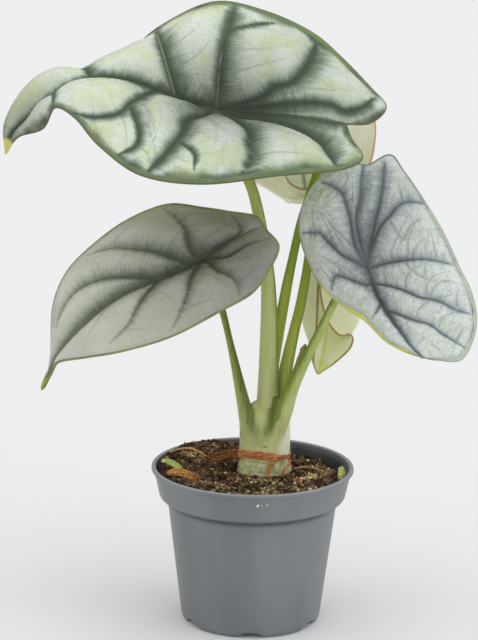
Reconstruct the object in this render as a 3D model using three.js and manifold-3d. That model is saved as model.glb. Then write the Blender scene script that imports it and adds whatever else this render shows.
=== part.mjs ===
// A potted alocasia: a plastic nursery pot filled with potting soil, a fleshy stem base with a
// papery collar, five leaf stalks and five thick quilted leaf blades, two of them half rolled.
// Millimetres, +Z up, seen from -Y. The origin is the centre of the pot's underside.

import * as THREE from 'three';
import { mergeVertices } from 'three/addons/utils/BufferGeometryUtils.js';
import Module from 'manifold-3d';

const wasm = await Module();
wasm.setup();

// ---------------------------------------------------------------- driving dimensions

const GAP = 0.3; // clearance between pieces that rest in or against each other

const POT = {
  height: 94,
  rimRadius: 60,
  lipHeight: 2.6, // thickened edge round the mouth
  lipRound: 0.6, // its rounded corners
  bandTopRadius: 58.4, // band under the lip
  bandBottomRadius: 55.6,
  bandBottom: 76.5,
  shoulderBottom: 72.6, // where the sloping shoulder meets the body
  bodyTopRadius: 51,
  baseRadius: 41.2,
  baseRound: 2.4, // radius of the bottom edge
  wall: 1.4,
  wallStep: 0.6, // how much higher the inside turns than the outside, at the shoulder
  floor: 1.6,
  padRadius: 23, // flat disc in the middle of the underside
  padSlope: 1, // width of the slope at either edge of the recess
  recessHeight: 3, // ring-shaped recess round the disc, which carries the drain holes
  recessRadius: 34,
  notches: 6, // arched notches in the foot
  notchWidth: 17,
  notchHeight: 2.7,
  notchLength: 14, // how far an arch reaches inwards from the foot
  notchSides: 40,
  drainRadius: 3.5,
  drainCircle: 28.5,
  drainSides: 12,
  sides: 48,
};

const SOIL = {
  level: 88.5, // height of the surface at the pot's axis
  tilt: -0.06, // rise per millimetre of X
  heap: { x: -32, y: 38, height: 6, spread: 18 }, // soil piled against the back left wall
  ripple: 0.6,
  slump: 1, // how far the surface drops right at the wall
  wallGap: 0.4, // clearance between the soil's body and the pot's wall
  middle: 0.5, // radius of the small disc where the underside's rings end
  rings: 7,
  sides: 36,
};

const STEM = {
  x: 7,
  y: 4,
  // height, half width in X, half width in Y, from the corm's foot inside the soil upwards
  rings: [[66, 5, 5], [70, 11, 10], [80, 14.5, 12.5], [90, 15.6, 13.4], [99, 15.2, 13],
    [108, 15.4, 12.8], [118, 15.6, 12.4], [124, 13, 11], [127, 7, 6]],
  sides: 20,
  steps: 12,
};

const COLLAR = {
  bottom: 99.5,
  top: 105.5,
  innerRadius: 13, // inside the stem's skin, which is then cut away from the band
  outerRadius: 16.5,
  belly: 0.4, // how far the band stands out half way up
  depth: 0.87, // its size front to back against side to side
  wave: 1.1, // how far its edge rises and falls
  sides: 28,
  // the strip that trails off over the soil: x, y, height (or how far it lies above the soil),
  // half width
  strip: {
    held: [[-7, 6, 101, 2.6], [-13, 10, 98, 3]],
    laid: [[-20, 14, 1.6, 2.8], [-28, 18, 1.6, 1.2]],
    flat: 0.4,
    sides: 8,
    steps: 8,
  },
};

const BLADE = {
  thickness: 1.5,
  puff: 0.8, // below 1, the blade swells steeply from its midrib and margin
  stationStep: 0.02, // columns that grow from the midrib closer together than this share one
};
const ROD = { sides: 10, steps: 14 }; // how finely a stalk is cut, round and along it

// A blade is two halves that meet along the midrib, the left one first, as seen from its upper
// side with the tip down. `midrib` runs from the stalk's joint to the tip. Each row of a half is
// a point of the margin, from the notch behind the joint round to the tip: x, y, z, then how far
// the blade crowns there, then where on the midrib (0 joint, 1 tip) that stretch of blade grows
// from. `veins` says where side veins meet the margin, as a share of the rows, and the blade
// swells between them by `swell`, towards `face`, its upper side. `columnWidth` and `steps` say
// how finely a blade is cut along its margin and out to it.

const TOP_LEAF = {
  face: [0, -0.63, 0.78],
  swell: 4.2,
  columnWidth: 0.065,
  steps: 6,
  midrib: [[-23, 5, 307], [-47, 7, 315], [-74, 8, 324], [-96, 7, 326], [-114, 4, 319],
    [-130, 2, 305], [-142, 1, 293], [-146, 1, 279]],
  halves: [
    {
      veins: [0, 0.13, 0.33, 0.44, 0.54, 0.7, 1],
      rows: [[51, 5, 299, 4, 0], [66, 16, 298, 3, 0], [75, 25, 306, 4, 0], [66, 34, 316, 6, 0],
        [49, 44, 332, 6, 0], [31, 50, 346, 5, 0], [3, 51, 358, 4, 0], [-27, 49, 363, 4, 0.05],
        [-58, 45, 349, 5, 0.2], [-77, 42, 333, 5, 0.33], [-95, 38, 323, 5, 0.46],
        [-114, 31, 324, 4, 0.58], [-129, 24, 321, 4, 0.68], [-140, 16, 310, 3, 0.78],
        [-147, 8, 295, 2, 0.9], [-146, 1, 279, 0, 1]],
    },
    {
      veins: [0, 0.25, 0.37, 0.5, 0.6, 0.7, 1],
      rows: [[51, 5, 299, 4, 0], [54, -5, 292, 3, 0], [60, -16, 283, 4, 0], [47, -31, 279, 6, 0],
        [11, -48, 278, 8, 0], [-30, -55, 274, 8, 0.05], [-65, -48, 277, 7, 0.2],
        [-89, -36, 291, 5, 0.38], [-103, -30, 306, 4, 0.52], [-115, -25, 311, 3, 0.66],
        [-123, -15, 297, 2, 0.8], [-138, -4, 290, 1, 0.92], [-146, 1, 279, 0, 1]],
    },
  ],
};

const LEFT_LEAF = {
  face: [-0.38, -0.76, 0.53],
  swell: 3,
  columnWidth: 0.065,
  steps: 6,
  midrib: [[-30, -38, 227], [-50, -42, 219], [-75, -46, 209], [-97, -48, 192], [-111, -48, 174],
    [-122, -46, 151]],
  halves: [
    {
      veins: [0, 0.2, 0.4, 0.55, 0.68, 0.8, 1],
      rows: [[5, -24, 243, 3, 0], [0, -20, 249, 3, 0], [-15, -17, 251, 4, 0],
        [-31, -16, 253, 5, 0], [-51, -18, 255, 6, 0.06], [-73, -22, 247, 7, 0.2],
        [-92, -27, 234, 7, 0.38], [-108, -32, 218, 6, 0.56], [-116, -38, 198, 4, 0.72],
        [-117, -45, 169, 2, 0.88], [-122, -46, 151, 0, 1]],
    },
    {
      veins: [0, 0.2, 0.33, 0.5, 0.65, 1],
      rows: [[5, -24, 243, 3, 0], [13, -32, 234, 4, 0], [7, -44, 222, 5, 0], [-2, -52, 211, 6, 0],
        [-19, -58, 202, 7, 0], [-47, -64, 188, 7, 0.12], [-75, -64, 179, 6, 0.34],
        [-96, -60, 174, 4, 0.56], [-112, -53, 169, 2, 0.78], [-117, -48, 159, 1, 0.9],
        [-122, -46, 151, 0, 1]],
    },
  ],
};

const RIGHT_LEAF = {
  face: [-0.03, -0.77, 0.64],
  swell: 3,
  columnWidth: 0.065,
  steps: 6,
  midrib: [[64, -14, 219], [69, -20, 208], [76, -28, 196], [84, -38, 186], [89, -46, 180],
    [95, -52, 175]],
  halves: [
    {
      veins: [0, 0.18, 0.42, 0.6, 0.8, 1],
      rows: [[64, 4, 275, 3, 0], [54, 2, 276, 4, 0], [39, 0, 271, 5, 0], [27, -2, 254, 6, 0],
        [25, -7, 235, 6, 0], [35, -15, 211, 6, 0.1], [49, -22, 198, 6, 0.25],
        [63, -29, 190, 5, 0.45], [74, -38, 181, 4, 0.7], [85, -47, 177, 2, 0.88],
        [95, -52, 175, 0, 1]],
    },
    {
      veins: [0, 0.14, 0.3, 0.47, 0.62, 0.75, 1],
      rows: [[64, 4, 275, 3, 0], [77, 6, 281, 4, 0], [85, 4, 272, 5, 0], [97, -3, 256, 6, 0],
        [108, -12, 239, 6, 0], [117, -22, 221, 6, 0.1], [124, -31, 207, 6, 0.3],
        [126, -40, 190, 5, 0.55], [118, -50, 174, 4, 0.8], [103, -53, 174, 2, 0.93],
        [95, -52, 175, 0, 1]],
    },
  ],
};

// The two young blades show their undersides: each half curls over from the midrib, towards
// `bulge`, so its margin comes back in front or above.

const CUPPED_LEAF = {
  face: [0, 0.7, 0.7],
  swell: 0.8,
  columnWidth: 0.11,
  steps: 5,
  midrib: [[31, 26, 254], [23, 24, 252], [14, 22, 255], [3, 21, 261], [-4, 21, 263]],
  halves: [
    {
      bulge: [0, 0.3, -0.95],
      veins: [0, 0.4, 0.7, 1],
      rows: [[37, 34, 260, 0, 0], [40, 44, 265, 6, 0], [37, 54, 271, 13, 0.05],
        [28, 58, 273, 17, 0.2], [17, 54, 272, 14, 0.4], [7, 42, 269, 9, 0.65],
        [0, 30, 265, 4, 0.85], [-4, 21, 263, 0, 1]],
    },
    {
      bulge: [0, -0.8, -0.6],
      veins: [0, 0.5, 1],
      rows: [[37, 34, 260, 0, 0], [33, 26, 258, 0.5, 0], [27, 22, 257, 1, 0.1],
        [20, 21, 260, 2, 0.3], [15, 22, 266, 2, 0.5], [6, 22, 269, 1.5, 0.75],
        [0, 22, 266, 0.5, 0.9], [-4, 21, 263, 0, 1]],
    },
  ],
};

const ROLLED_LEAF = {
  face: [0, -1, 0],
  swell: 0.6,
  columnWidth: 0.11,
  steps: 5,
  midrib: [[55, 46, 272], [52, 50, 246], [49, 52, 214], [45, 50, 184], [43, 46, 160],
    [39, 39, 140]],
  halves: [
    {
      bulge: [-1, 0.1, 0],
      veins: [0, 0.3, 0.6, 1],
      rows: [[57, 50, 298, 0, 0], [51, 47, 291, 1, 0], [48, 44, 281, 2, 0], [48, 41, 262, 2, 0.1],
        [44, 33, 237, 6, 0.28], [38, 26, 213, 11, 0.46], [36, 23, 201, 13, 0.56],
        [36, 25, 176, 11, 0.72], [36, 31, 159, 5, 0.84], [36, 36, 149, 2, 0.94], [39, 39, 140, 0, 1]],
    },
    {
      bulge: [1, 0.1, 0],
      veins: [0, 0.3, 0.6, 1],
      rows: [[57, 50, 298, 0, 0], [65, 46, 302, 2, 0], [69, 42, 294, 3, 0], [69, 40, 284, 4, 0.05],
        [66, 36, 270, 6, 0.14], [55, 26, 247, 12, 0.28], [44, 21, 221, 17, 0.42],
        [38, 20, 202, 19, 0.54], [42, 20, 180, 19, 0.66], [50, 21, 169, 11, 0.75],
        [58, 26, 167, 4, 0.82], [57, 32, 158, 2, 0.9], [48, 38, 147, 1, 0.96], [39, 39, 140, 0, 1]],
    },
  ],
};

// Leaf stalks: x, y, z of the centre line and the stalk's radius, from inside the stem base up
// to just under the blade that the stalk carries.

const STALKS = {
  top: [[8, 4, 112, 6.6], [8, 3, 131, 6.3], [8.3, 2, 154, 5.6], [7.6, 0, 201, 4.3],
    [4, 0, 231, 3.7], [-1.3, 1.5, 256, 3.3], [-8, 4, 272, 3.1], [-16, 6.5, 290, 3],
    [-22.3, 6.6, 302, 3.3], [-23, 5.4, 306.3, 1]],
  right: [[13, -3, 110, 5.4], [17.3, -7.5, 128, 4.6], [22.3, -10.5, 143.5, 3.7],
    [28.4, -12.5, 159, 3.2], [37.5, -14, 179, 2.7], [47, -12, 199, 2.4], [56, -7, 211, 2.3],
    [61.5, -9.5, 215.6, 2.6], [64, -13.3, 218.4, 1.4]],
  left: [[0, 1, 112, 4.6], [-3.4, -1.4, 122, 4.2], [-6.3, -3, 136, 3.4], [-13.8, -8, 169, 2.1],
    [-18.8, -14, 191, 2.1], [-24, -23, 210, 2.1], [-28, -33.6, 222.6, 2.4],
    [-29.8, -37.4, 226.6, 1.4]],
  cupped: [[15, 6, 112, 4.6], [17, 7.5, 130, 4.3], [18.6, 8.5, 150, 3.9], [23.5, 9, 175, 3.2],
    [26.7, 9.5, 189, 3.1], [30.2, 11, 211, 2.7], [32.2, 13, 232, 2.5], [32, 18, 246, 2.4],
    [31.1, 24.8, 253, 1.2]],
  rolled: [[11, 11, 112, 4], [13, 14.5, 130, 3.6], [14.8, 16, 152, 3.3], [16.5, 15.5, 169, 3.1],
    [19, 14.5, 201, 2.8], [22, 14, 218, 2.5], [26, 13.5, 238, 2.5], [31, 14, 255, 2.5],
    [36, 21, 269, 2.5], [40, 35, 279, 2.4], [43, 49, 280.5, 2.4], [49.5, 55, 278, 2.4],
    [54.9, 47, 272.5, 1.2]],
};

// Loose plant scraps on the soil: x, y and radius along each, and how flat it is.

const SCRAP = { sunk: 0.4, sides: 6, steps: 8 };
const SCRAPS = {
  root_fibre_left: { flat: 1, path: [[-50, 20, 0.7], [-42, 27, 0.9], [-36, 25, 0.9], [-31, 21, 0.7]] },
  root_fibre_right: { flat: 1, path: [[25, 14, 0.7], [32, 18, 0.9], [39, 13, 0.9], [45, 6, 0.7]] },
  green_stub_left: { flat: 1, path: [[-51, -3, 2.2], [-48, -7, 2.8], [-43, -11, 1.6]] },
  dry_scrap_left: { flat: 0.4, path: [[-48, -15, 2], [-42, -18, 4], [-35, -20, 4], [-30, -23, 2]] },
  green_stub_right: { flat: 1, path: [[49, 14, 1.6], [51.5, 7, 2.2], [51.5, 0, 2.2], [50, -6, 1.4]] },
};

// ---------------------------------------------------------------- colours

const FINISH = {
  pot: [0x777c80, 0.45],
  soil: [0x3b2f27, 0.95],
  stem: [0xa7ae74, 0.45],
  stalk: [0x7c8b34, 0.4],
  paper: [0xa4683a, 0.8],
  topBlade: [0x9fb59a, 0.42],
  leftBlade: [0x98a18d, 0.42],
  rightBlade: [0xa9b5b2, 0.42],
  youngBlade: [0xc9cc96, 0.45],
  fibre: [0xc9a36a, 0.8],
  stub: [0xb2b85a, 0.55],
};

function finish([color, roughness]) {
  return new THREE.MeshStandardMaterial({ color, roughness, metalness: 0 });
}

// ---------------------------------------------------------------- closed bodies

// A closed three.js geometry as a solid, with its faces turned outwards.
function solidOf(geometry) {
  const bare = new THREE.BufferGeometry();
  bare.setAttribute('position', geometry.getAttribute('position'));
  bare.setIndex(geometry.getIndex());
  const merged = mergeVertices(bare, 1e-4);
  const corners = merged.getIndex().array;
  const points = merged.getAttribute('position');
  const [a, b, c] = [new THREE.Vector3(), new THREE.Vector3(), new THREE.Vector3()];
  const faces = [];
  let volume = 0;
  for (let i = 0; i < corners.length; i += 3) {
    const [p, q, r] = corners.slice(i, i + 3);
    if (p === q || q === r || r === p) continue;
    faces.push([p, q, r]);
    a.fromBufferAttribute(points, p);
    b.fromBufferAttribute(points, q);
    c.fromBufferAttribute(points, r);
    volume += a.dot(b.cross(c));
  }
  if (volume < 0) faces.forEach((face) => face.reverse());
  return new wasm.Manifold(new wasm.Mesh({
    numProp: 3,
    vertProperties: new Float32Array(points.array),
    triVerts: new Uint32Array(faces.flat()),
  }));
}

function meshOf(solid, name, look) {
  const { vertProperties, triVerts } = solid.getMesh();
  const geometry = new THREE.BufferGeometry();
  geometry.setAttribute('position', new THREE.BufferAttribute(vertProperties, 3));
  geometry.setIndex(new THREE.BufferAttribute(triVerts, 1));
  geometry.computeVertexNormals();
  const mesh = new THREE.Mesh(geometry, finish(look));
  mesh.name = name;
  return mesh;
}

function geometryOf(points, faces) {
  const geometry = new THREE.BufferGeometry();
  geometry.setAttribute('position', new THREE.Float32BufferAttribute(points.flat(), 3));
  geometry.setIndex(faces.flat());
  return geometry;
}

// A closed body through rings of points, with its two ends closed by fans.
function loft(rings) {
  const sides = rings[0].length;
  const points = rings.flat();
  const faces = [];
  for (let i = 0; i + 1 < rings.length; i += 1) {
    for (let j = 0; j < sides; j += 1) {
      const k = (j + 1) % sides;
      const [p, q] = [i * sides + j, i * sides + k];
      faces.push([p, q, q + sides], [p, q + sides, p + sides]);
    }
  }
  for (const end of [0, rings.length - 1]) {
    const middle = points.length;
    const ring = rings[end];
    points.push([0, 1, 2].map((axis) => ring.reduce((sum, at) => sum + at[axis], 0) / sides));
    for (let j = 0; j < sides; j += 1) {
      const [p, q] = [end * sides + j, end * sides + ((j + 1) % sides)];
      faces.push(end === 0 ? [q, p, middle] : [p, q, middle]);
    }
  }
  return solidOf(geometryOf(points, faces));
}

// The point at t, from 0 to 1, of a smooth curve through rows of numbers (Catmull-Rom).
function through(rows, t) {
  const last = rows.length - 1;
  const at = Math.min(Math.max(t, 0), 1) * last;
  const i = Math.min(Math.floor(at), last - 1);
  const f = at - i;
  const row = (k) => {
    if (k < 0) return rows[0].map((v, n) => 2 * v - rows[1][n]);
    if (k > last) return rows[last].map((v, n) => 2 * v - rows[last - 1][n]);
    return rows[k];
  };
  const [p, q, r, s] = [row(i - 1), row(i), row(i + 1), row(i + 2)];
  return q.map((v, n) => 0.5 * (2 * v + (r[n] - p[n]) * f
    + (2 * p[n] - 5 * v + 4 * r[n] - s[n]) * f * f
    + (3 * v - p[n] - 3 * r[n] + s[n]) * f * f * f));
}

// A round rod along a smooth path of x, y, z, radius. `extra` is added to the radius, and `flat`
// squashes the rod towards the ground.
function rod(path, { sides, steps }, extra = 0, flat = 1) {
  const centre = (t) => new THREE.Vector3(...through(path, t).slice(0, 3));
  const rings = [];
  for (let i = 0; i <= steps; i += 1) {
    const t = i / steps;
    const middle = centre(t);
    const along = centre(Math.min(t + 0.01, 1)).sub(centre(Math.max(t - 0.01, 0))).normalize();
    const hint = Math.abs(along.z) > 0.7 ? new THREE.Vector3(0, 1, 0) : new THREE.Vector3(0, 0, 1);
    const across = new THREE.Vector3().crossVectors(hint, along).normalize();
    const up = new THREE.Vector3().crossVectors(along, across);
    const radius = through(path, t)[3] + extra;
    rings.push(Array.from({ length: sides }, (_, j) => {
      const angle = (2 * Math.PI * j) / sides;
      return middle.clone()
        .addScaledVector(across, radius * Math.cos(angle))
        .addScaledVector(up, radius * flat * Math.sin(angle))
        .toArray();
    }));
  }
  return loft(rings);
}

// ---------------------------------------------------------------- pot

function potProfile() {
  const taper = (POT.bodyTopRadius - POT.baseRadius) / POT.shoulderBottom;
  const outside = [
    [0, 0], [POT.padRadius, 0], [POT.padRadius + POT.padSlope, POT.recessHeight],
    [POT.recessRadius, POT.recessHeight], [POT.recessRadius + POT.padSlope, 0],
    [POT.baseRadius - POT.baseRound, 0],
    [POT.baseRadius - POT.baseRound * (1 - Math.SQRT1_2), POT.baseRound * (1 - Math.SQRT1_2)],
    [POT.baseRadius + taper * POT.baseRound, POT.baseRound],
    [POT.bodyTopRadius, POT.shoulderBottom],
    [POT.bandBottomRadius, POT.bandBottom],
    [POT.bandTopRadius, POT.height - POT.lipHeight],
    [POT.rimRadius, POT.height - POT.lipHeight + POT.lipRound],
    [POT.rimRadius, POT.height - POT.lipRound],
    [POT.rimRadius - POT.lipRound, POT.height],
  ];
  const inside = insideProfile(0).reverse();
  return [...outside, ...inside].map(([r, z]) => new THREE.Vector2(r, z));
}

// The cavity's wall from the axis up to the mouth, drawn in by `gap`.
function insideProfile(gap) {
  const floor = POT.recessHeight + POT.floor + gap;
  const wall = POT.wall + gap;
  const pad = POT.padRadius - POT.padSlope / 2 - gap;
  return [
    [0, POT.floor + gap], [pad - POT.padSlope, POT.floor + gap], [pad, floor],
    [POT.baseRadius - wall, floor],
    [POT.bodyTopRadius - wall, POT.shoulderBottom + POT.wallStep],
    [POT.bandBottomRadius - wall, POT.bandBottom + POT.wallStep],
    [POT.bandTopRadius - wall, POT.height],
  ];
}

// The turned pot, with the notches cut into its foot and a drain hole behind each of them.
function makePot() {
  const turned = new THREE.LatheGeometry(potProfile(), POT.sides);
  turned.rotateX(Math.PI / 2);
  let pot = solidOf(turned);
  const arch = (POT.notchWidth ** 2 / 4 + POT.notchHeight ** 2) / (2 * POT.notchHeight);
  const { notchLength, notchSides, drainRadius, drainCircle, drainSides } = POT;
  const floorTop = POT.recessHeight + POT.floor;
  for (let i = 0; i < POT.notches; i += 1) {
    const angle = (i / POT.notches) * 2 * Math.PI - Math.PI / 2;
    const notch = new THREE.CylinderGeometry(arch, arch, notchLength, notchSides);
    notch.rotateZ(Math.PI / 2);
    notch.translate(POT.recessRadius + notchLength / 4, 0, POT.notchHeight - arch);
    notch.rotateZ(angle);
    const drain = new THREE.CylinderGeometry(drainRadius, drainRadius, 2 * floorTop, drainSides);
    drain.rotateX(Math.PI / 2);
    drain.translate(drainCircle * Math.cos(angle), drainCircle * Math.sin(angle), floorTop);
    pot = pot.subtract(solidOf(notch)).subtract(solidOf(drain));
  }
  return pot;
}

// ---------------------------------------------------------------- soil and scraps

function soilHeight(x, y) {
  const { heap } = SOIL;
  const far = ((x - heap.x) ** 2 + (y - heap.y) ** 2) / (2 * heap.spread ** 2);
  const ripple = Math.sin(x * 0.21 + 1) * Math.cos(y * 0.24) + 0.6 * Math.sin(x * 0.13 - y * 0.31);
  return SOIL.level + SOIL.tilt * x + heap.height * Math.exp(-far) + SOIL.ripple * ripple;
}

function ringAt(radiusOf, height) {
  return Array.from({ length: SOIL.sides }, (_, j) => {
    const angle = (2 * Math.PI * j) / SOIL.sides;
    const radius = radiusOf(angle);
    const [x, y] = [radius * Math.cos(angle), radius * Math.sin(angle)];
    return [x, y, height(x, y)];
  });
}

// The radius at which the soil's surface meets the pot's upper wall, in one direction.
function shoreRadius(angle) {
  const [low, high] = insideProfile(GAP).slice(5);
  const [x, y] = [low[0] * Math.cos(angle), low[0] * Math.sin(angle)];
  const share = (Math.min(soilHeight(x, y), high[1]) - low[1]) / (high[1] - low[1]);
  return (low[0] + (high[0] - low[0]) * share) * Math.cos(Math.PI / POT.sides) - GAP / 2;
}

// The soil fills the cavity up to its uneven surface. `lift` raises that surface.
function makeSoil(lift = 0) {
  const wall = insideProfile(SOIL.wallGap).slice(0, 6);
  const rings = wall.map(([r, z]) => ringAt(() => r || SOIL.middle, () => z));
  for (let i = 0; i <= SOIL.rings; i += 1) {
    const share = (SOIL.rings - i + 0.5) / (SOIL.rings + 0.5);
    const slump = i === 0 ? SOIL.slump : 0;
    const surface = (x, y) => soilHeight(x, y) + lift - slump;
    rings.push(ringAt((angle) => shoreRadius(angle) * share, surface));
  }
  return loft(rings);
}

// A scrap lies on the soil, sunk into it by SCRAP.sunk of its half thickness.
function makeScrap({ flat, path }) {
  const lift = flat * (1 - SCRAP.sunk);
  const points = path.map(([x, y, r]) => [x, y, soilHeight(x, y) + r * lift, r]);
  return rod(points, SCRAP, 0, flat);
}

// ---------------------------------------------------------------- stem base and collar

// The stem base, from the corm's foot in the soil up to where the stalks leave it, grown by
// `extra` on all sides.
function makeStem(extra = 0) {
  const rings = [];
  for (let i = 0; i <= STEM.steps; i += 1) {
    const [z, rx, ry] = through(STEM.rings, i / STEM.steps);
    const foot = i === 0 ? -extra : 0;
    const top = i === STEM.steps ? extra : 0;
    rings.push(Array.from({ length: STEM.sides }, (_, j) => {
      const angle = (2 * Math.PI * j) / STEM.sides;
      return [
        STEM.x + (rx + extra) * Math.cos(angle),
        STEM.y + (ry + extra) * Math.sin(angle),
        z + foot + top,
      ];
    }));
  }
  return loft(rings);
}

// The collar is a thin dried leaf base wrapped round the stem, with a wavy edge, and one strip
// of it trails off to the left over the soil.
function makeCollar() {
  const { bottom, top, innerRadius: inner, outerRadius: outer, belly, strip } = COLLAR;
  const profile = [[inner, bottom], [outer, bottom], [outer + belly, (bottom + top) / 2],
    [outer, top], [inner, top], [inner, bottom]].map(([r, z]) => new THREE.Vector2(r, z));
  const band = new THREE.LatheGeometry(profile, COLLAR.sides);
  band.rotateX(Math.PI / 2);
  band.scale(1, COLLAR.depth, 1);
  const at = band.getAttribute('position');
  for (let i = 0; i < at.count; i += 1) {
    const angle = Math.atan2(at.getY(i), at.getX(i));
    at.setZ(i, at.getZ(i) + COLLAR.wave * (Math.sin(2 * angle + 0.6) + 0.4 * Math.sin(5 * angle)));
  }
  band.translate(STEM.x, STEM.y, 0);
  const laid = strip.laid.map(([x, y, lift, r]) => [x, y, soilHeight(x, y) + lift, r]);
  const trail = rod([...strip.held, ...laid], strip, 0, strip.flat);
  return solidOf(band).add(trail).subtract(makeStem(GAP));
}

// ---------------------------------------------------------------- leaf blades

// Where the columns of a half meet its margin, as shares of its rows: on each vein, and at even
// steps between one vein and the next.
function cuts(leaf, half) {
  const list = [0];
  half.veins.slice(1).forEach((vein, i) => {
    const from = half.veins[i];
    const count = Math.max(2, Math.ceil((vein - from) / leaf.columnWidth));
    for (let k = 1; k <= count; k += 1) list.push(from + ((vein - from) * k) / count);
  });
  return list;
}

// Where the lobe ends: the last row of a half that grows from the joint itself.
function lobeEnd({ rows }) {
  return rows.findLastIndex((row) => row[4] === 0) / (rows.length - 1);
}

// The places on the midrib, from 0 at the joint to 1 at the tip, where the blade has a column.
// Both halves share them, so that their columns meet there.
function stations(leaf) {
  const roots = new Set([1]);
  for (const half of leaf.halves) {
    for (const u of cuts(leaf, half)) {
      const at = u * (half.rows.length - 1);
      const i = Math.min(Math.floor(at), half.rows.length - 2);
      const [low, high] = [half.rows[i][4], half.rows[i + 1][4]];
      const root = low + (high - low) * (at - i);
      roots.add(Math.round(root / BLADE.stationStep) * BLADE.stationStep);
    }
  }
  return [...roots].filter((root) => root > 0).sort((a, b) => a - b);
}

// Each column of a half: where it meets the margin, and its station on the midrib. The lobe's
// columns fan out from the joint; the rest grow from the midrib.
function columnsOf(leaf, half) {
  const { rows } = half;
  const end = lobeEnd(half);
  const columns = cuts(leaf, half).filter((u) => u < end - 0.01).map((u) => [u, 0]);
  columns.push([end, 0]);
  for (const root of stations(leaf)) {
    const i = Math.max(rows.findIndex((row) => row[4] >= root), 1);
    const share = (root - rows[i - 1][4]) / (rows[i][4] - rows[i - 1][4]);
    columns.push([(i - 1 + share) / (rows.length - 1), root]);
  }
  return columns;
}

// How far the blade swells at u: nothing on a vein, fullest half way between two.
function quilt(veins, u) {
  const i = Math.min(Math.max(veins.findIndex((v) => v > u), 1), veins.length - 1);
  return Math.abs(Math.sin((Math.PI * (u - veins[i - 1])) / (veins[i] - veins[i - 1])));
}

// A point of a half blade: straight from the midrib (s = 0) to the margin (s = 1), then pushed
// out by the crown, and by the quilting between the veins.
function bladePoint(leaf, half, u, root, s) {
  const rib = through(leaf.midrib, root);
  const margin = through(half.rows, u);
  const bulge = half.bulge ?? leaf.face;
  const crown = margin[3] * 4 * s * (1 - s);
  const swell = leaf.swell * quilt(half.veins, u) * Math.sin(Math.PI * s) ** BLADE.puff;
  return [0, 1, 2].map((n) => rib[n] + (margin[n] - rib[n]) * s + bulge[n] * (crown + swell));
}

// The blade's upper face as one sheet: both halves, each a grid of columns and steps.
function bladeSheet(leaf) {
  const points = [];
  const faces = [];
  const size = leaf.steps + 1;
  leaf.halves.forEach((half, side) => {
    const columns = columnsOf(leaf, half);
    const first = points.length;
    for (const [u, root] of columns) {
      for (let j = 0; j < size; j += 1) {
        points.push(bladePoint(leaf, half, u, root, j / leaf.steps));
      }
    }
    for (let i = 0; i + 1 < columns.length; i += 1) {
      for (let j = 0; j + 1 < size; j += 1) {
        const p = first + i * size + j;
        const [q, r, s] = [p + size, p + size + 1, p + 1];
        faces.push(...(side === 0 ? [[q, p, r], [r, p, s]] : [[p, q, r], [p, r, s]]));
      }
    }
  });
  return geometryOf(points, faces);
}

// A sheet given a thickness: a copy of it raised by `up` and one lowered by `down` along the
// sheet's own normals, joined round its open edge.
function thicken(sheet, up, down) {
  const merged = mergeVertices(sheet, 1e-3);
  const corners = merged.getIndex().array;
  const faces = [];
  for (let i = 0; i < corners.length; i += 3) {
    const [p, q, r] = corners.slice(i, i + 3);
    if (p !== q && q !== r && r !== p) faces.push([p, q, r]);
  }
  merged.setIndex(faces.flat());
  merged.computeVertexNormals();
  const [at, normal] = [merged.getAttribute('position'), merged.getAttribute('normal')];
  const count = at.count;
  const points = [];
  for (const far of [up, -down]) {
    for (let i = 0; i < count; i += 1) {
      points.push([
        at.getX(i) + normal.getX(i) * far,
        at.getY(i) + normal.getY(i) * far,
        at.getZ(i) + normal.getZ(i) * far,
      ]);
    }
  }
  const used = new Set(faces.flatMap(([p, q, r]) => [`${p},${q}`, `${q},${r}`, `${r},${p}`]));
  const walls = [];
  for (const [p, q, r] of faces) {
    for (const [a, b] of [[p, q], [q, r], [r, p]]) {
      if (!used.has(`${b},${a}`)) walls.push([b, a, a + count], [b, a + count, b + count]);
    }
  }
  const under = faces.map(([p, q, r]) => [r + count, q + count, p + count]);
  return solidOf(geometryOf(points, [...faces, ...under, ...walls]));
}

function makeBlade(leaf) {
  return thicken(bladeSheet(leaf), 0, BLADE.thickness);
}

// ---------------------------------------------------------------- assembly

const group = new THREE.Group();
group.name = 'potted_alocasia';

group.add(meshOf(makePot(), 'pot', FINISH.pot));
group.add(meshOf(makeSoil().subtract(makeStem(GAP)), 'soil', FINISH.soil));
group.add(meshOf(makeStem(), 'stem_base', FINISH.stem));
group.add(meshOf(makeCollar().subtract(makeSoil(GAP)), 'papery_collar', FINISH.paper));

const LEAVES = {
  top: [TOP_LEAF, FINISH.topBlade],
  right: [RIGHT_LEAF, FINISH.rightBlade],
  left: [LEFT_LEAF, FINISH.leftBlade],
  cupped: [CUPPED_LEAF, FINISH.youngBlade],
  rolled: [ROLLED_LEAF, FINISH.youngBlade],
};

let taken = makeStem(GAP);
for (const [name, [leaf, look]] of Object.entries(LEAVES)) {
  const clear = thicken(bladeSheet(leaf), GAP, BLADE.thickness + GAP);
  const stalk = rod(STALKS[name], ROD).subtract(taken).subtract(clear);
  group.add(meshOf(stalk, `stalk_${name}_leaf`, FINISH.stalk));
  group.add(meshOf(makeBlade(leaf), `leaf_${name}`, look));
  taken = taken.add(rod(STALKS[name], ROD, GAP));
}

const SCRAP_LOOKS = {
  root_fibre_left: FINISH.fibre,
  root_fibre_right: FINISH.fibre,
  green_stub_left: FINISH.stub,
  dry_scrap_left: FINISH.paper,
  green_stub_right: FINISH.stub,
};
for (const [name, scrap] of Object.entries(SCRAPS)) {
  const piece = makeScrap(scrap).subtract(makeSoil(GAP));
  group.add(meshOf(piece, name, SCRAP_LOOKS[name]));
}

export default group;
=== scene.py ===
"""A potted alocasia: nursery pot, potting soil, stem base, five stalks and five quilted blades.

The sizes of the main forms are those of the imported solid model, in millimetres, and are turned
into metres when a mesh is made. +Z is up and the plant is seen from -Y.
"""

import math
from functools import partial

import bpy
import numpy as np
from mathutils import Matrix


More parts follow.
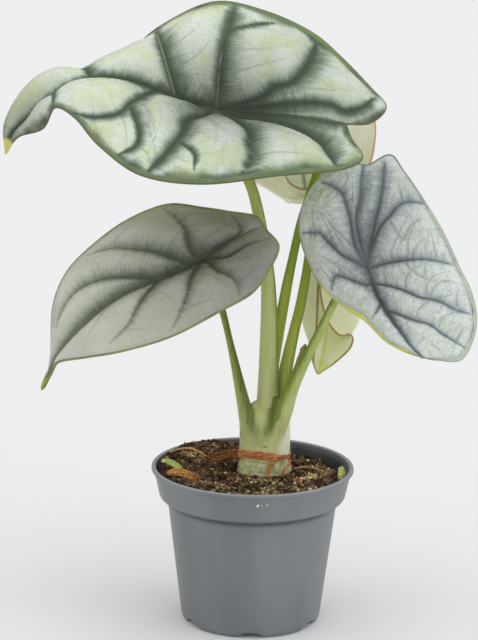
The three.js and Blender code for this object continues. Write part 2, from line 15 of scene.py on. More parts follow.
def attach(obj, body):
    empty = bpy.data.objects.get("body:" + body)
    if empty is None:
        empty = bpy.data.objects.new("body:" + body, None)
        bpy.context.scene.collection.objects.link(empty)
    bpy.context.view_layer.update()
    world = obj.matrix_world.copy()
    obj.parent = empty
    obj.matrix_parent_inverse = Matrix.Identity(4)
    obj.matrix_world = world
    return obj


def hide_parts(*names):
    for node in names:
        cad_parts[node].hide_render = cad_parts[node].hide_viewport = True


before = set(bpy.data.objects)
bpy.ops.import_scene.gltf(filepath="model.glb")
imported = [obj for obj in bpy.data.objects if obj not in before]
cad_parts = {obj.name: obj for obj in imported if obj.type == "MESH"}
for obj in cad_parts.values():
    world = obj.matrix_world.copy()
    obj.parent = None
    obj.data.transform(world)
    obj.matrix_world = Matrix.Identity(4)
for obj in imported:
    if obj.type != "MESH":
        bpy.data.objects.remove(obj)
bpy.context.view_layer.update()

bl_info = {
    "name": "Potted Alocasia",
    "version": (1, 0, 0),
    "blender": (4, 5, 0),
    "location": "View3D > Sidebar > Alocasia",
    "description": "Builds a potted alocasia with quilted silver blades",
    "category": "Add Mesh",
}

MM = 0.001  # the shapes below are in millimetres, Blender's are in metres

# ------------------------------------------------------------------ forms of the solid model

# Blades: `midrib` runs from the stalk's joint to the tip. Each row of a half is a point of the
# margin, from the notch behind the joint round to the tip: x, y, z, how far the blade crowns
# there, and where on the midrib (0 joint, 1 tip) that stretch of blade grows from. `face` points
# out of the upper side, and the halves crown along it or along their own `bulges`.
#
# Veins are curves in a half's own coordinates: u, along the margin from notch to tip, and s,
# from the midrib (0) to the margin (1). A row is: half, half width of its dark band at the start
# and at the end, how deep it lies (1 for a main vein), then its u, s points. `midrib_band` is the
# midrib's half width at the joint and at the tip. `lean` is the share by which a band is narrower
# on its overhung side, which `midrib_lean` swaps for the midrib, and `fade` is how far its colours
# have slipped outwards at its end. `ridges` names the bands with a pale ridge, by their number,
# with the midrib as 0. `arcs` gives the number of thin veins that leave each main one, and their
# strength.
#
# `puff` is how far the panels swell and `spread` how widely the veins hold them down. `rims` gives
# each half's plain rim by rows of u, width and tint, from 0 for its own green to 1 for the
# blade's other rim colour.

def young_veins(*rows):
    """Even, faint veins of a young blade, by half and by u at their start, middle and end."""
    return [(side, 0.9, 0.6, 0.6, [(start, 0.02), (middle, 0.5), (end, 0.92)])
            for side, start, middle, end in rows]


BLADES = {
    "top": {
        "face": (0, -0.63, 0.78),
        "puff": 6.4,
        "spread": 8.0,
        "ridges": (1, 2),
        "lean": 0.38,
        "fade": 0.15,
        "arcs": (3, 0.8),
        "rims": [[(0, 0.8, 0), (0.17, 0.7, 0), (0.25, 3.0, 1), (0.35, 3.2, 1), (0.42, 2, 0.8),
                  (0.48, 1.2, 0.4), (0.7, 0.8, 0), (1, 0.6, 0)],
                 [(0, 0.8, 0), (0.16, 1.0, 0), (0.24, 2.2, 0.2), (0.33, 3.0, 0.1), (0.42, 3.1, 0),
                  (0.52, 2.6, 0), (0.6, 1.8, 0), (0.7, 1.1, 0), (1, 0.6, 0)]],
        "midrib": [(-23, 5, 307), (-47, 7, 315), (-74, 8, 324), (-96, 7, 326), (-114, 4, 319),
                   (-130, 2, 305), (-142, 1, 293), (-146, 1, 279)],
        "halves": [
            [(51, 5, 299, 4, 0), (66, 16, 298, 3, 0), (75, 25, 306, 4, 0), (66, 34, 316, 6, 0),
             (49, 44, 332, 6, 0), (31, 50, 346, 5, 0), (3, 51, 358, 4, 0),
             (-27, 49, 363, 4, 0.05), (-58, 45, 349, 5, 0.2), (-77, 42, 333, 5, 0.33),
             (-95, 38, 323, 5, 0.46), (-114, 31, 324, 4, 0.58), (-129, 24, 321, 4, 0.68),
             (-140, 16, 310, 3, 0.78), (-147, 8, 295, 2, 0.9), (-146, 1, 279, 0, 1)],
            [(51, 5, 299, 4, 0), (54, -5, 292, 3, 0), (60, -16, 283, 4, 0), (47, -31, 279, 6, 0),
             (11, -48, 278, 8, 0), (-30, -55, 274, 8, 0.05), (-65, -48, 277, 7, 0.2),
             (-89, -36, 291, 5, 0.38), (-103, -30, 306, 4, 0.52), (-115, -25, 311, 3, 0.66),
             (-123, -15, 297, 2, 0.8), (-138, -4, 290, 1, 0.92), (-146, 1, 279, 0, 1)],
        ],
        "midrib_band": (4.4, 1.8),
        "midrib_lean": 1,
        "veins": [
            (0, 3.6, 3.0, 1.0, [(0.51, 0), (0.52, 0.25), (0.53, 0.55), (0.54, 0.88)]),
            (0, 3.6, 3.8, 1.0, [(0.41, 0), (0.43, 0.25), (0.44, 0.55), (0.44, 0.95)]),
            (0, 4.0, 3.8, 1.0, [(0.2, 0), (0.2, 0.24), (0.24, 0.4), (0.24, 0.53), (0.27, 0.72),
                                (0.31, 0.93)]),
            (0, 1.6, 1.0, 0.6, [(0.43, 0.73), (0.38, 0.9)]),
            (0, 5.2, 2.6, 0.9, [(0.1, 0), (0.14, 0.42), (0.14, 0.64), (0.11, 0.78),
                                (0.16, 0.93)]),
            (0, 2.4, 1.4, 0.6, [(0.66, 0.1), (0.68, 0.5), (0.71, 0.85)]),
            (0, 9.5, 5.6, 0.8, [(0, 0), (0, 0.5), (0, 0.97)]),
            (1, 3.4, 1.8, 1.0, [(0.5, 0), (0.53, 0.3), (0.56, 0.55), (0.66, 0.88)]),
            (1, 2.4, 1.6, 0.8, [(0.53, 0.4), (0.515, 0.6), (0.515, 0.76), (0.54, 0.92)]),
            (1, 4.2, 3.0, 1.0, [(0.38, 0.04), (0.44, 0.28), (0.45, 0.5), (0.47, 0.74),
                                (0.49, 0.93)]),
            (1, 1.4, 1.0, 0.5, [(0.45, 0.62), (0.43, 0.74), (0.43, 0.87)]),
            (1, 4.0, 2.8, 1.0, [(0.33, 0), (0.31, 0.34), (0.34, 0.6), (0.35, 0.76),
                                (0.37, 0.92)]),
            (1, 5.6, 3.0, 1.0, [(0.2, 0), (0.12, 0.34), (0.11, 0.51), (0.15, 0.67),
                                (0.21, 0.81), (0.24, 0.92)]),
            (1, 1.6, 0.9, 0.5, [(0.72, 0.08), (0.73, 0.5), (0.75, 0.85)]),
        ],
    },
    "left": {
        "face": (-0.38, -0.76, 0.53),
        "puff": 4.2,
        "spread": 7.0,
        "lean": 0.3,
        "fade": 1.5,
        "arcs": (2, 0.6),
        "rims": [[(0, 1.0, 0), (0.5, 1.2, 0), (1, 1, 0)], [(0, 0.9, 0), (1, 0.9, 0)]],
        "midrib": [(-30, -38, 227), (-50, -42, 219), (-75, -46, 209), (-97, -48, 192),
                   (-111, -48, 174), (-122, -46, 151)],
        "halves": [
            [(5, -24, 243, 3, 0), (0, -20, 249, 3, 0), (-15, -17, 251, 4, 0),
             (-31, -16, 253, 5, 0), (-51, -18, 255, 6, 0.06), (-73, -22, 247, 7, 0.2),
             (-92, -27, 234, 7, 0.38), (-108, -32, 218, 6, 0.56), (-116, -38, 198, 4, 0.72),
             (-117, -45, 169, 2, 0.88), (-122, -46, 151, 0, 1)],
            [(5, -24, 243, 3, 0), (13, -32, 234, 4, 0), (7, -44, 222, 5, 0),
             (-2, -52, 211, 6, 0), (-19, -58, 202, 7, 0), (-47, -64, 188, 7, 0.12),
             (-75, -64, 179, 6, 0.34), (-96, -60, 174, 4, 0.56), (-112, -53, 169, 2, 0.78),
             (-117, -48, 159, 1, 0.9), (-122, -46, 151, 0, 1)],
        ],
        "midrib_band": (3.4, 1.0),
        "veins": [
            (0, 3.0, 1.5, 1.0, [(0.35, 0), (0.37, 0.2), (0.36, 0.5), (0.38, 0.7),
                                (0.41, 0.9)]),
            (0, 3.0, 1.3, 1.0, [(0.42, 0.02), (0.45, 0.14), (0.48, 0.27), (0.54, 0.53),
                                (0.57, 0.68), (0.63, 0.88)]),
            (0, 2.4, 1.0, 1.0, [(0.54, 0.02), (0.6, 0.2), (0.64, 0.33), (0.69, 0.46),
                                (0.74, 0.52), (0.82, 0.55)]),
            (0, 2.6, 1.2, 0.9, [(0.1, 0), (0.1, 0.25), (0.07, 0.45), (0.06, 0.64),
                                (0.12, 0.76), (0.18, 0.9)]),
            (0, 2.0, 0.9, 0.7, [(0.08, 0.05), (0.05, 0.4), (0.02, 0.92)]),
            (1, 2.4, 1.2, 0.8, [(0.28, 0), (0.31, 0.33), (0.29, 0.56), (0.3, 0.74),
                                (0.33, 0.9)]),
            (1, 2.6, 0.8, 0.9, [(0.42, 0), (0.45, 0.23), (0.46, 0.53), (0.48, 0.76),
                                (0.5, 0.92)]),
            (1, 2.0, 0.7, 0.8, [(0.56, 0), (0.58, 0.48), (0.59, 0.66), (0.63, 0.85)]),
            (1, 1.8, 0.9, 0.7, [(0.15, 0.05), (0.15, 0.33), (0.07, 0.58), (0.05, 0.93)]),
            (0, 0.8, 0.4, 0.3, [(0.66, 0.38), (0.62, 0.52), (0.64, 0.75)]),
            (1, 0.8, 0.4, 0.3, [(0.66, 0.05), (0.67, 0.4), (0.7, 0.7)]),
        ],
    },
    "right": {
        "face": (-0.03, -0.77, 0.64),
        "puff": 4.4,
        "spread": 6.0,
        "lean": 0.2,
        "fade": 0.3,
        "arcs": (3, 0.7),
        "rims": [[(0, 0.4, 0), (0.2, 1.2, 0), (0.42, 0.8, 0), (0.52, 1.0, 1), (0.7, 2.2, 1),
                  (0.9, 1.6, 1), (1, 0.6, 1)],
                 [(0, 0.5, 0), (0.24, 0.8, 0), (0.34, 1.5, 0), (0.6, 2.2, 0), (0.8, 1.7, 0),
                  (0.9, 1.0, 0), (1, 0.6, 1)]],
        "midrib": [(64, -14, 219), (69, -20, 208), (76, -28, 196), (84, -38, 186),
                   (89, -46, 180), (95, -52, 175)],
        "halves": [
            [(64, 4, 275, 3, 0), (54, 2, 276, 4, 0), (39, 0, 271, 5, 0), (27, -2, 254, 6, 0),
             (25, -7, 235, 6, 0), (35, -15, 211, 6, 0.1), (49, -22, 198, 6, 0.25),
             (63, -29, 190, 5, 0.45), (74, -38, 181, 4, 0.7), (85, -47, 177, 2, 0.88),
             (95, -52, 175, 0, 1)],
            [(64, 4, 275, 3, 0), (77, 6, 281, 4, 0), (85, 4, 272, 5, 0), (97, -3, 256, 6, 0),
             (108, -12, 239, 6, 0), (117, -22, 221, 6, 0.1), (124, -31, 207, 6, 0.3),
             (126, -40, 190, 5, 0.55), (118, -50, 174, 4, 0.8), (103, -53, 174, 2, 0.93),
             (95, -52, 175, 0, 1)],
        ],
        "midrib_band": (2.8, 1.4),
        "veins": [
            (0, 2.8, 1.9, 1.0, [(0.26, 0), (0.24, 0.2), (0.18, 0.41), (0.17, 0.58),
                                (0.17, 0.71), (0.19, 0.8), (0.22, 0.93)]),
            (0, 3.6, 3.2, 1.0, [(0.13, 0.04), (0.13, 0.4), (0.06, 0.65), (0.03, 0.97)]),
            (0, 2.4, 1.4, 1.0, [(0.42, 0), (0.42, 0.36), (0.4, 0.52), (0.37, 0.69),
                                (0.38, 0.8), (0.39, 0.93)]),
            (0, 2.2, 1.0, 0.9, [(0.54, 0), (0.55, 0.21), (0.51, 0.58), (0.51, 0.71),
                                (0.54, 0.88)]),
            (0, 1.4, 0.7, 0.5, [(0.64, 0), (0.68, 0.4), (0.7, 0.7)]),
            (1, 3.4, 2.8, 1.0, [(0.09, 0.04), (0.09, 0.33), (0.1, 0.59), (0.08, 0.9)]),
            (1, 2.8, 1.8, 0.9, [(0.12, 0.12), (0.2, 0.41), (0.23, 0.53), (0.24, 0.64),
                                (0.26, 0.78), (0.3, 0.95)]),
            (1, 1.8, 1.5, 1.2, [(0.43, 0.02), (0.45, 0.29), (0.46, 0.47), (0.47, 0.68),
                                (0.49, 0.92)]),
            (1, 1.2, 1.3, 0.9, [(0.53, 0), (0.57, 0.2), (0.61, 0.38), (0.62, 0.51),
                                (0.63, 0.62), (0.65, 0.75), (0.66, 0.9)]),
            (1, 1.2, 0.9, 0.8, [(0.64, 0.01), (0.68, 0.21), (0.7, 0.39), (0.73, 0.54),
                                (0.75, 0.74), (0.76, 0.89)]),
            (1, 0.7, 0.5, 0.4, [(0.22, 0.5), (0.3, 0.48), (0.36, 0.5), (0.4, 0.62)]),
            (1, 0.7, 0.5, 0.4, [(0.37, 0.52), (0.34, 0.66), (0.34, 0.82), (0.35, 0.92)]),
            (1, 0.7, 0.4, 0.4, [(0.46, 0.5), (0.42, 0.62), (0.4, 0.78), (0.39, 0.9)]),
            (1, 0.6, 0.4, 0.3, [(0.47, 0.4), (0.53, 0.48), (0.56, 0.6), (0.57, 0.82)]),
            (1, 0.6, 0.4, 0.3, [(0.62, 0.5), (0.58, 0.62), (0.56, 0.75), (0.57, 0.9)]),
            (0, 0.6, 0.4, 0.3, [(0.28, 0.2), (0.3, 0.45), (0.29, 0.7), (0.31, 0.9)]),
        ],
    },
    "cupped": {
        "face": (0, 0.7, 0.7),
        "puff": 0.8,
        "spread": 3.0,
        "rims": [[(0, 0.8, 0), (1, 0.8, 0)]] * 2,
        "midrib": [(31, 26, 254), (23, 24, 252), (14, 22, 255), (3, 21, 261), (-4, 21, 263)],
        "bulges": [(0, 0.3, -0.95), (0, -0.8, -0.6)],
        "halves": [
            [(37, 34, 260, 0, 0), (40, 44, 265, 6, 0), (37, 54, 271, 13, 0.05),
             (28, 58, 273, 17, 0.2), (17, 54, 272, 14, 0.4), (7, 42, 269, 9, 0.65),
             (0, 30, 265, 4, 0.85), (-4, 21, 263, 0, 1)],
            [(37, 34, 260, 0, 0), (33, 26, 258, 0.5, 0), (27, 22, 257, 1, 0.1),
             (20, 21, 260, 2, 0.3), (15, 22, 266, 2, 0.5), (6, 22, 269, 1.5, 0.75),
             (0, 22, 266, 0.5, 0.9), (-4, 21, 263, 0, 1)],
        ],
        "midrib_band": (1.2, 0.6),
        "veins": [*young_veins((0, 0.3, 0.36, 0.44), (0, 0.5, 0.6, 0.7), (0, 0.15, 0.18, 0.2)),
                  (1, 0.8, 0.5, 0.6, [(0.3, 0.02), (0.42, 0.5), (0.55, 0.92)])],
    },
    "rolled": {
        "face": (0, -1, 0),
        "puff": 0.6,
        "spread": 3.0,
        "rims": [[(0, 0.8, 0), (1, 0.8, 0)]] * 2,
        "midrib": [(55, 46, 272), (52, 50, 246), (49, 52, 214), (45, 50, 184), (43, 46, 160),
                   (39, 39, 140)],
        "bulges": [(-1, 0.1, 0), (1, 0.1, 0)],
        "halves": [
            [(57, 50, 298, 0, 0), (51, 47, 291, 1, 0), (48, 44, 281, 2, 0), (48, 41, 262, 2, 0.1),
             (45.5, 33, 237, 6, 0.28), (40, 26, 213, 11, 0.46), (38, 23, 201, 13, 0.56),
             (37.5, 25, 176, 11, 0.72), (37, 31, 159, 5, 0.84), (36.5, 36, 149, 2, 0.94),
             (39, 39, 140, 0, 1)],
            [(57, 50, 298, 0, 0), (65, 46, 302, 2, 0), (69, 42, 294, 3, 0), (69, 40, 284, 4, 0.05),
             (66, 36, 270, 6, 0.14), (55, 26, 247, 12, 0.28), (44, 21, 221, 17, 0.42),
             (38, 20, 202, 19, 0.54), (42, 20, 180, 19, 0.66), (50, 21, 169, 11, 0.75),
             (58, 26, 167, 4, 0.82), (57, 32, 158, 2, 0.9), (48, 38, 147, 1, 0.96),
             (39, 39, 140, 0, 1)],
        ],
        "midrib_band": (1.2, 0.6),
        "veins": young_veins((0, 0.2, 0.32, 0.42), (0, 0.42, 0.55, 0.66), (1, 0.25, 0.35, 0.44),
                             (1, 0.4, 0.5, 0.6), (1, 0.55, 0.64, 0.73)),
    },
}

# How finely each blade is cut: lobe columns, columns along the midrib, steps out to the margin.
FINENESS = {
    "top": (84, 180, 78),
    "left": (70, 150, 70),
    "right": (84, 150, 78),
    "cupped": (40, 90, 60),
    "rolled": (40, 140, 60),
}

# Stalks: x, y, z of the centre line and the radius, from inside the stem base to the blade.
STALKS = {
    "top": [(8, 4, 112, 6.6), (8, 3, 131, 6.3), (8.3, 2, 154, 5.6), (7.6, 0, 201, 4.3),
            (4, 0, 231, 3.7), (-1.3, 1.5, 256, 3.3), (-8, 4, 272, 3.1), (-16, 6.5, 290, 3),
            (-22.3, 6.6, 302, 3.3), (-23, 5.4, 306.3, 1)],
    "right": [(12, -1, 108, 4.6), (17.6, -7.3, 128, 4.9), (22.3, -10.5, 143.5, 3.7),
              (28.4, -12.5, 159, 3.2), (37.5, -14, 179, 2.7), (47, -12, 199, 2.4),
              (56, -7, 211, 2.3), (61.5, -9.5, 215.6, 2.6), (64, -13.3, 218.4, 1.4)],
    "left": [(-0.5, 1, 110, 5), (-3.6, -1.2, 122, 4.7), (-6.6, -3, 136, 3.7),
             (-13.8, -8, 169, 2.1), (-18.8, -14, 191, 2.1), (-24, -23, 210, 2.1),
             (-28, -33.6, 222.6, 2.4), (-29.8, -37.4, 226.6, 1.4)],
    "cupped": [(15, 6, 112, 4.6), (17, 7.5, 130, 4.3), (18.6, 8.5, 150, 3.9), (23.5, 9, 175, 3.2),
               (26.7, 9.5, 189, 3.1), (30.2, 11, 211, 2.7), (32.2, 13, 232, 2.5),
               (32, 18, 246, 2.4), (31.1, 24.8, 253, 1.2)],
    "rolled": [(7, 11, 112, 4), (9.2, 13.5, 130, 3.7), (11.3, 15.2, 151, 3.5),
               (14.2, 15.5, 171, 3.3), (18.6, 14.8, 199, 3), (22, 14, 218, 2.6),
               (26, 13.5, 238, 2.5), (31, 14, 255, 2.5), (36, 21, 269, 2.5), (40, 35, 279, 2.4),
               (43, 49, 280.5, 2.4), (49.5, 55, 278, 2.4), (54.9, 47, 272.5, 1.2)],
}

STEM_AXIS = (7, 4)
# height, half width in X, half width in Y
STEM_RINGS = [(66, 5, 5), (70, 11, 10), (80, 14.5, 12.5), (90, 15.6, 13.4), (99, 15.1, 13),
              (112, 14.9, 12.6), (122, 14.5, 11.6), (130, 14.2, 10.4), (141, 12, 8)]

# Scraps on the soil: x, y and the radius along each.
SCRAPS = {
    "root_fibre_left": [(-50, 19, 0.5), (-43, 24, 0.8), (-36, 22, 0.9), (-28, 17, 0.7),
                        (-23, 14, 0.5)],
    "root_fibre_right": [(25, 14, 0.4), (32, 18, 0.7), (39, 13, 0.7), (45, 6, 0.3)],
    "green_stub_left": [(-54, -1.5, 1.1), (-50.5, -2, 2.0), (-46, -7, 2.3), (-42.5, -12, 1.5)],
    "green_stub_right": [(53, 13, 1.4), (53.6, 9, 2.1), (53.2, 4, 2.2), (52.2, -1, 1.5)],
}

# ------------------------------------------------------------------ numbers and curves


def linear(code):
    """An sRGB hex colour as linear red, green, blue and alpha."""
    values = [int(code[i:i + 2], 16) / 255 for i in (1, 3, 5)]
    return tuple(v / 12.92 if v <= 0.04045 else ((v + 0.055) / 1.055) ** 2.4
                 for v in values) + (1.0,)


def smooth(low, high, x):
    """0 below low, 1 above high, and a smooth S between them."""
    t = np.clip((x - low) / (high - low), 0, 1)
    return t * t * (3 - 2 * t)


def bell(x, width):
    """A bell curve of height 1: exp of minus the square of x over width."""
    return np.exp(-(x / width) ** 2)


def unit(v):
    """Vectors made one long."""
    return v / np.maximum(np.linalg.norm(v, axis=-1, keepdims=True), 1e-9)


def through(rows, t):
    """The points at t, from 0 to 1, of a smooth curve through rows of numbers (Catmull-Rom)."""
    rows = np.asarray(rows, float)
    last = len(rows) - 1
    at = np.clip(np.asarray(t, float), 0, 1) * last
    i = np.minimum(at.astype(int), last - 1)
    f = (at - i)[..., None]
    ext = np.vstack([2 * rows[0] - rows[1], rows, 2 * rows[-1] - rows[-2]])
    p, q, r, s = ext[i], ext[i + 1], ext[i + 2], ext[i + 3]
    return 0.5 * (2 * q + (r - p) * f + (2 * p - 5 * q + 4 * r - s) * f ** 2
                  + (3 * q - p - 3 * r + s) * f ** 3)


def lattice(cells, seed):
    """A repeatable random number from -1 to 1 for each whole-number cell: its three numbers and
    the seed, times large odd numbers, added and mixed by shifts, as a hash."""
    h = (cells[..., 0] * 374761393 + cells[..., 1] * 668265263 + cells[..., 2] * 1103515245
         + seed * 40503) & 0xFFFFFFFF
    h = ((h ^ (h >> 13)) * 1274126177) & 0xFFFFFFFF
    return ((h ^ (h >> 16)) & 0xFFFFFF) / 0x7FFFFF - 1


def noise(points, size, seed, octaves=3):
    """Smooth random values, about -1 to 1: random numbers at the corners of cubes `size` mm
    wide, blended inside each cube, plus the same at half the size and half the height, and so
    on."""
    points = np.asarray(points, float)
    total, weight = np.zeros(points.shape[:-1]), 1.0
    for octave in range(octaves):
        at = points * (2 ** octave / size)
        base = np.floor(at).astype(np.int64)
        f = at - base
        f = f * f * (3 - 2 * f)
        value = np.zeros(points.shape[:-1])
        for corner in np.ndindex(2, 2, 2):
            share = np.prod(np.where(corner, f, 1 - f), axis=-1)
            value += share * lattice(base + np.array(corner), seed + 17 * octave)
        total += weight * value
        weight /= 2
    return total


def plane(x, y, z=0.0):
    """Three arrays or numbers as one array of points."""
    return np.stack(np.broadcast_arrays(np.asarray(x, float), y, z), axis=-1)


# ------------------------------------------------------------------ meshes


def grid_faces(rows, columns, wrap=False, flip=False):
    """Two triangles for each cell of a grid of points, row by row. `wrap` joins the last column
    to the first."""
    i = np.arange(rows - 1)[:, None]
    j = np.arange(columns if wrap else columns - 1)[None, :]
    k = (j + 1) % columns
    p, q = i * columns + j, (i + 1) * columns + j
    s, r = i * columns + k, (i + 1) * columns + k
    quads = np.stack([p, q, r, p, r, s], axis=-1).reshape(-1, 3)
    return quads[:, ::-1] if flip else quads


def weld(points, faces, cell=0.0005):
    """Makes points one that lie in the same small cell, and drops the triangles that this closes.
    Returns the points, the faces and the old index of each point kept."""
    shift = 0.3183  # of a cell, so that round numbers don't lie on a cell's border
    keys = np.floor(points / cell + shift).astype(np.int64)
    _, first, back = np.unique(keys, axis=0, return_index=True, return_inverse=True)
    faces = back.reshape(-1)[faces]
    a, b, c = faces.T
    return points[first], faces[(a != b) & (b != c) & (c != a)], first


def normals(points, faces):
    """The normal at each point: the mean of its triangles' normals, by area."""
    a, b, c = (points[faces[:, i]] for i in range(3))
    n = np.cross(b - a, c - a)
    sums = [sum(np.bincount(faces[:, i], n[:, axis], len(points)) for i in range(3))
            for axis in range(3)]
    return unit(np.stack(sums, axis=-1))


def make_piece(name, points, faces, material, sharp=40.0, **values):
    """Makes a mesh piece from points in millimetres and triangles. `values` are numbers kept at
    each point, which the piece's material reads."""
    mesh = bpy.data.meshes.new(name)
    mesh.vertices.add(len(points))
    mesh.vertices.foreach_set("co", (np.asarray(points) * MM).astype(np.float32).ravel())
    mesh.loops.add(faces.size)
    mesh.loops.foreach_set("vertex_index", faces.astype(np.int32).ravel())
    mesh.polygons.add(len(faces))
    mesh.polygons.foreach_set("loop_start", np.arange(0, faces.size, 3, dtype=np.int32))
    mesh.update(calc_edges=True)
    mesh.validate()
    mesh.shade_smooth()
    mesh.set_sharp_from_angle(angle=math.radians(sharp))
    for key, value in values.items():
        layer = mesh.attributes.new(key, "FLOAT", "POINT")
        layer.data.foreach_set("value", np.asarray(value, np.float32))
    mesh.materials.append(material)
    piece = bpy.data.objects.new(name, mesh)
    bpy.context.scene.collection.objects.link(piece)
    return piece


def seat(piece, slot, *nodes):
    """Lets a piece ride on the part's one body and hides what it replaces. `slot`, the name of
    its finish, is not used.
    """
    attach(piece, "root")
    if nodes:
        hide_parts(*nodes)


def dress(name, mesh, material, slot, *nodes, sharp=60, **values):
    """Makes a piece from its points and faces, and seats it."""
    seat(make_piece(name, *mesh, material, sharp, **values), slot, *nodes)


def closed_grid(grid, poles):
    """Faces of a tube of rings (rings, sides), and its two ends closed by fans to `poles`."""
    rings, sides = grid.shape[:2]
    points = np.vstack([grid.reshape(-1, 3), np.asarray(poles, float)])
    j = np.arange(sides)
    k = (j + 1) % sides
    top = (rings - 1) * sides
    low = np.stack([k, j, np.full(sides, rings * sides)], axis=-1)
    high = np.stack([top + j, top + k, np.full(sides, rings * sides + 1)], axis=-1)
    faces = np.vstack([grid_faces(rings, sides, wrap=True, flip=True), low, high])
    return points, faces


def tube(path, sides, steps, hint, shape=None, flat=1.0):
    """A round section carried along a smooth path of x, y, z, radius. The section lies across
    the path: across = hint x along, up = along x across. `shape` multiplies the radius by a
    function of t and angle, and `flat` squashes the section along up."""
    t = np.linspace(0, 1, steps + 1)
    rows = through(path, t)
    near, far = (through(path, np.clip(t + d, 0, 1))[:, :3] for d in (-0.01, 0.01))
    along = unit(far - near)
    across = unit(np.cross(hint, along))
    up = np.cross(along, across)
    angle = np.linspace(0, 2 * np.pi, sides, endpoint=False)
    radius = rows[:, 3:4] * np.ones(sides)
    if shape is not None:
        radius = radius * shape(t[:, None], angle[None, :])
    grid = (rows[:, None, :3] + across[:, None] * (radius * np.cos(angle))[..., None]
            + up[:, None] * (radius * flat * np.sin(angle))[..., None])
    points, faces = closed_grid(grid, rows[[0, -1], :3])
    tt = np.append(np.repeat(t, sides), [0, 1])
    aa = np.append(np.tile(angle, steps + 1), [0, 0])
    return points, faces, tt, aa


def joined(parts):
    """Several (points, faces, value…) pieces as one."""
    counts = np.cumsum([0] + [len(p[0]) for p in parts[:-1]])
    points = np.vstack([p[0] for p in parts])
    faces = np.vstack([p[1] + n for p, n in zip(parts, counts)])
    values = [np.concatenate([p[i] for p in parts]) for i in range(2, len(parts[0]))]
    return (points, faces, *values)


# ------------------------------------------------------------------ blades


def half_shape(blade, side):
    """A half's rows, where on the midrib each grows from, and the way it crowns."""
    rows = np.asarray(blade["halves"][side], float)
    bulge = np.asarray(blade.get("bulges", (blade["face"],) * 2)[side], float)
    return rows, rows[:, 4], bulge


def on_blade(blade, side, u, s):
    """A point of a half: straight from the midrib to the margin at share s, then pushed out by
    the crown times 4 s (1 - s)."""
    rows, roots, bulge = half_shape(blade, side)
    root = np.interp(np.asarray(u) * (len(rows) - 1), np.arange(len(rows)), roots)
    rib = through(blade["midrib"], root)
    margin = through(rows, u)
    s = np.asarray(s, float)[..., None]
    return rib + (margin[..., :3] - rib) * s + bulge * margin[..., 3:4] * 4 * s * (1 - s)


def blade_sheet(blade, lobe, ribs, steps):
    """Both halves as one welded sheet. A half is a grid: its columns fan from the joint over the
    lobe, then leave the midrib at stations that both halves share; its rows run out to the
    margin, closer together near it."""
    stations = np.linspace(0, 1, ribs + 1)[1:]
    turn = 0.42 * np.pi  # the nearer to a quarter turn, the closer the last rows
    s = np.sin(np.linspace(0, 1, steps + 1) * turn) / np.sin(turn)
    points, faces, count = [], [], 0
    for side in (0, 1):
        rows, roots, _ = half_shape(blade, side)
        shares = np.arange(len(rows)) / (len(rows) - 1)
        end = np.flatnonzero(roots == 0)[-1]
        u = np.concatenate([np.linspace(0, shares[end], lobe + 1),
                            np.interp(stations, roots[end:], shares[end:])])
        grid = on_blade(blade, side, u[:, None] * np.ones(len(s)), s[None] * np.ones((len(u), 1)))
        points.append(grid.reshape(-1, 3))
        faces.append(grid_faces(len(u), len(s), flip=side == 0) + count)
        count += grid.shape[0] * grid.shape[1]
    points, faces, _ = weld(np.vstack(points), np.vstack(faces))
    return points, faces


def nearest(points, line, slip=1.5):
    """How far each point is from a line of close points, how far along it that is, the line's
    length, and which of its points is nearest. A place between two of the line's points is found
    by sliding from the nearest one, by at most `slip`."""
    steps = np.linalg.norm(np.diff(line, axis=0), axis=1)
    walked = np.concatenate([[0], np.cumsum(steps)])
    square = ((points ** 2).sum(1)[:, None] + (line ** 2).sum(1)[None]
              - 2 * points @ line.T)
    i = np.clip(square.argmin(1), 1, len(line) - 2)
    ahead = unit(line[i + 1] - line[i - 1])
    off = points - line[i]
    slide = np.clip((off * ahead).sum(1), -slip, slip)
    gap = np.linalg.norm(off - ahead * slide[:, None], axis=1)
    return gap, walked[i] + slide, walked[-1], i


def margin_field(blade, points):
    """For each point: `edge`, how far it is from the margin, and the width and the tint of the
    plain rim there, from the blade's `rims`, whose rows are u, width, tint."""
    u = np.linspace(0, 1, 500)
    line = np.vstack([on_blade(blade, side, u, np.ones_like(u)) for side in (0, 1)])
    edge, _, _, i = nearest(points, line)
    values = [np.concatenate([np.interp(u, *np.transpose(rows)[[0, k]]) for rows in blade["rims"]])
              for k in (1, 2)]
    return {"edge": edge, "rim": values[0][i], "tint": values[1][i]}


def side_arcs(blade):
    """Thin veins that leave the main ones: each sets off across the panel towards the notch and
    then bends out to the margin, u = u0 - d (1 - (1 - q)^2), s = s0 + (0.97 - s0) q^1.6."""
    number, strength = blade.get("arcs", (0, 0))
    out = []
    q = np.linspace(0, 1, 6)
    for side in (0, 1):
        main = [v for v in blade["veins"] if v[0] == side and v[3] >= 0.7]
        feet = sorted(v[4][len(v[4]) // 2][0] for v in main)
        for n, (_, _, _, _, path) in enumerate(main):
            middle = path[len(path) // 2][0]
            lower = [f for f in feet if f < middle - 0.03]
            room = middle - (lower[-1] if lower else 0)
            for k in range(number if lower else 0):
                start = 0.26 + 0.5 * k / max(number - 1, 1) + 0.03 * np.sin(7 * n + 3 * k)
                u0 = np.interp(start, [p[1] for p in path], [p[0] for p in path])
                u = u0 - 0.72 * room * (1 - 0.45 * k / number) * (1 - (1 - q) ** 2)
                s = start + (0.95 - start) * q ** 1.6
                out.append((side, 0.5, 0.35, 0.34 * strength,
                            [(float(a), float(b)) for a, b in zip(u, s)]))
    return out


